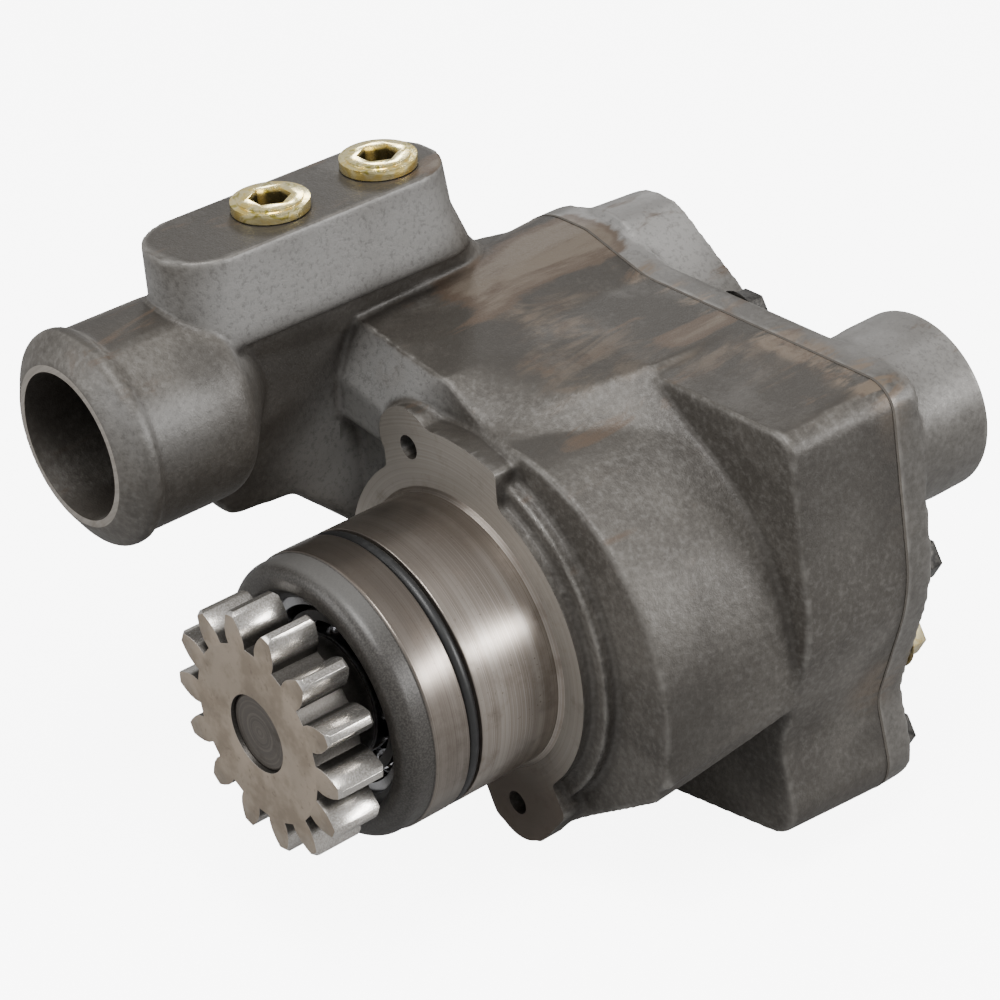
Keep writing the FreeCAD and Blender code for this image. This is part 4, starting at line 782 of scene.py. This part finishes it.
# Gear steel: dull sides, with the flanks and tips polished by running, and painted shade in the tooth
# roots.
def gearFinish():
    paint = Paint("gear_steel")
    endwise = paint.facing()[1]
    side = paint.step(endwise * endwise, 0.4, 0.8)
    blotch = paint.noise(8.0, 5.0, 0.62)
    hob = paint.noise(0.45, 2.0)
    fine = paint.noise(0.5, 3.0)
    face = paint.mix((0.24, 0.196, 0.150), (0.335, 0.280, 0.222), paint.step(blotch, 0.35, 0.62))
    face = paint.mix(face, (0.15, 0.115, 0.088), paint.step(paint.noise(2.2, 4.0), 0.6, 0.74) * 0.5)
    flank = paint.mix((0.40, 0.372, 0.335), (0.64, 0.615, 0.58), paint.step(hob, 0.3, 0.7))
    # Painted shade: flanks dark near the root circle.
    rootEdge = gear["rootRadius"] * mm
    root = paint.step(paint.radius(), rootEdge + gear["rootFade"] * mm, rootEdge)
    flank = paint.mix(flank, (0.035, 0.031, 0.027), root * 0.9)
    colour = paint.mix(flank, face, side)
    chamfer = paint.step(endwise * endwise, 0.2, 0.4) * paint.step(endwise * endwise, 0.8, 0.6)
    colour = paint.mix(colour, (0.62, 0.60, 0.57), chamfer * 0.7)
    roughness = 0.24 + side * 0.2 + (fine - 0.5) * 0.14 + root * 0.2
    normal = paint.bump(fine * 0.012 + blotch * 0.03, 1.0)
    return paint.finish(colour, roughness, 0.9 - side * 0.35, normal)


def addLight(name, place, target, width, power):
    lamp = bpy.data.lights.new(name, "AREA")
    lamp.shape = "RECTANGLE"
    lamp.size = width[0]
    lamp.size_y = width[1]
    lamp.energy = power
    holder = bpy.data.objects.new(name, lamp)
    holder.location = place
    holder.rotation_euler = (Vector(target) - Vector(place)).to_track_quat("-Z", "Y").to_euler()
    bpy.context.scene.collection.objects.link(holder)


# Lights are a name, the way to it from the centre, its two sizes and its watts.
studio = {
    "camera": (0.5544, -0.4204, 0.4517), "azimuth": 51.82, "elevation": 30.67, "roll": 4.19, "lens": 110.5,
    "centre": (0.01, 0.02, 0.02), "reach": 1.0,
    "lights": [("key", (0.27, -0.21, 0.94), (0.4, 0.4), 9.5),
               ("side", (0.78, 0.52, 0.33), (0.5, 0.12), 8.0),
               ("tips", (-0.68, 0.53, 0.51), (0.16, 0.16), 1.15),
               ("front", (-0.35, -0.85, 0.4), (0.5, 0.5), 4.5)],
    "ambient": 0.55, "floor": (0.32, 0.32, 0.32), "floorSize": 6.0, "floorGap": 0.5, "glow": 7.0,
}


def addCamera():
    azimuth = math.radians(studio["azimuth"])
    elevation = math.radians(studio["elevation"])
    roll = math.radians(studio["roll"])
    back = Vector((math.sin(azimuth) * math.cos(elevation), -math.cos(azimuth) * math.cos(elevation),
                   math.sin(elevation)))
    level = Vector((math.cos(azimuth), math.sin(azimuth), 0))
    upright = back.cross(level)
    right = level * math.cos(roll) - upright * math.sin(roll)
    up = level * math.sin(roll) + upright * math.cos(roll)
    lens = bpy.data.cameras.new("camera")
    lens.lens = studio["lens"]
    lens.sensor_width = 36.0
    lens.clip_start = 0.01
    camera = bpy.data.objects.new("camera", lens)
    camera.matrix_world = Matrix((right, up, back)).transposed().to_4x4()
    camera.location = studio["camera"]
    bpy.context.scene.collection.objects.link(camera)
    bpy.context.scene.camera = camera


def addFloor():
    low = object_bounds()[0][2]
    bm = bmesh.new()
    bmesh.ops.create_grid(bm, x_segments=1, y_segments=1, size=studio["floorSize"])
    bmesh.ops.translate(bm, verts=bm.verts, vec=(0, 0, low - studio["floorGap"] * mm))
    paint = Paint("floor_paper")
    seen = paint.node("ShaderNodeLightPath", output="Is Camera Ray")
    paper = paint.node("ShaderNodeBsdfPrincipled", {}, {
        "Base Color": (0.9, 0.9, 0.9, 1.0), "Roughness": 0.9, "Emission Color": (1.0, 1.0, 1.0, 1.0),
        "Emission Strength": studio["glow"]})
    bounce = paint.node("ShaderNodeBsdfPrincipled", {}, {
        "Base Color": (*studio["floor"], 1.0), "Roughness": 0.9})
    material = paint.close(paint.node("ShaderNodeMixShader", {}, {0: seen, 1: bounce, 2: paper}))
    fromBmesh(bm, "floor", [material])


def addStudio():
    world = bpy.data.worlds.new("studio")
    bpy.context.scene.world = world
    world.use_nodes = True
    sky = world.node_tree.nodes["Background"].inputs
    sky["Color"].default_value = (1.0, 1.0, 1.0, 1.0)
    sky["Strength"].default_value = studio["ambient"]
    centre = Vector(studio["centre"])
    for name, away, width, power in studio["lights"]:
        addLight(name, centre + Vector(away).normalized() * studio["reach"], centre, width, power)


smallParts = [  # material, colour, roughness, metallic and the nodes that have it
    ("bearing_steel", (0.52, 0.52, 0.53), 0.22, 1.0, [
        "front_bearing_outer_ring", "front_bearing_inner_ring", "rear_bearing_outer_ring",
        "rear_bearing_inner_ring", "dowel_pins", "bearing_spacer"]),
    ("ball_steel", (0.66, 0.66, 0.68), 0.08, 1.0, ["front_bearing_balls", "rear_bearing_balls"]),
    ("brass", (0.60, 0.43, 0.18), 0.32, 1.0, ["seal_shell"]),
    ("cage_steel", (0.12, 0.115, 0.11), 0.4, 0.8, ["front_bearing_cage", "rear_bearing_cage"]),
    ("phosphated_steel", (0.10, 0.10, 0.10), 0.45, 0.7, ["snap_ring"]),
    ("sheet_steel", (0.45, 0.45, 0.45), 0.3, 1.0, ["oil_seal_case", "oil_seal_spring", "seal_spring"]),
    ("carbon", (0.03, 0.03, 0.032), 0.35, 0.0, ["seal_carbon"]),
    ("ceramic", (0.75, 0.72, 0.64), 0.18, 0.0, ["seal_seat"]),
]

iron = castIron("housing_iron", castLook)
coverIron = castIron("cover_iron", coverLook)
face = machined("milled_iron", flangeLook)
black = rubber("black_rubber", (0.012, 0.012, 0.012), 0.42)
print("materials made")

buildHousing([iron, face])
buildCover([coverIron, face])
buildNose([registerFinish()])
brokenEdges("drive_gear", "gear", "rotor", gear["broken"], gearFinish(), gear["sharp"])
brokenEdges("port_plugs", "plugs", "casing", plugs["broken"], plugFinish())
brokenEdges("cover_screws", "screws", "casing", screws["broken"], screwFinish())
brokenEdges("pump_shaft", "shaft", "rotor", shaftLook["broken"], machined("shaft_steel", shaftLook))
dress(["pilot_o_ring", "plug_o_rings", "seal_bellows", "seal_seat_cup"], black)
dress(["oil_seal_lip"], rubber("brown_rubber", (0.10, 0.035, 0.02), 0.45))
dress(["cover_gasket"], rubber("gasket_fibre", (0.055, 0.047, 0.038), 0.8))
for name, colour, roughness, metallic, nodes in smallParts:
    dress(nodes, smallMetal(name, colour, roughness, metallic))
dress(["impeller"], coverIron)
print("pieces made")

addCamera()
addFloor()
addStudio()
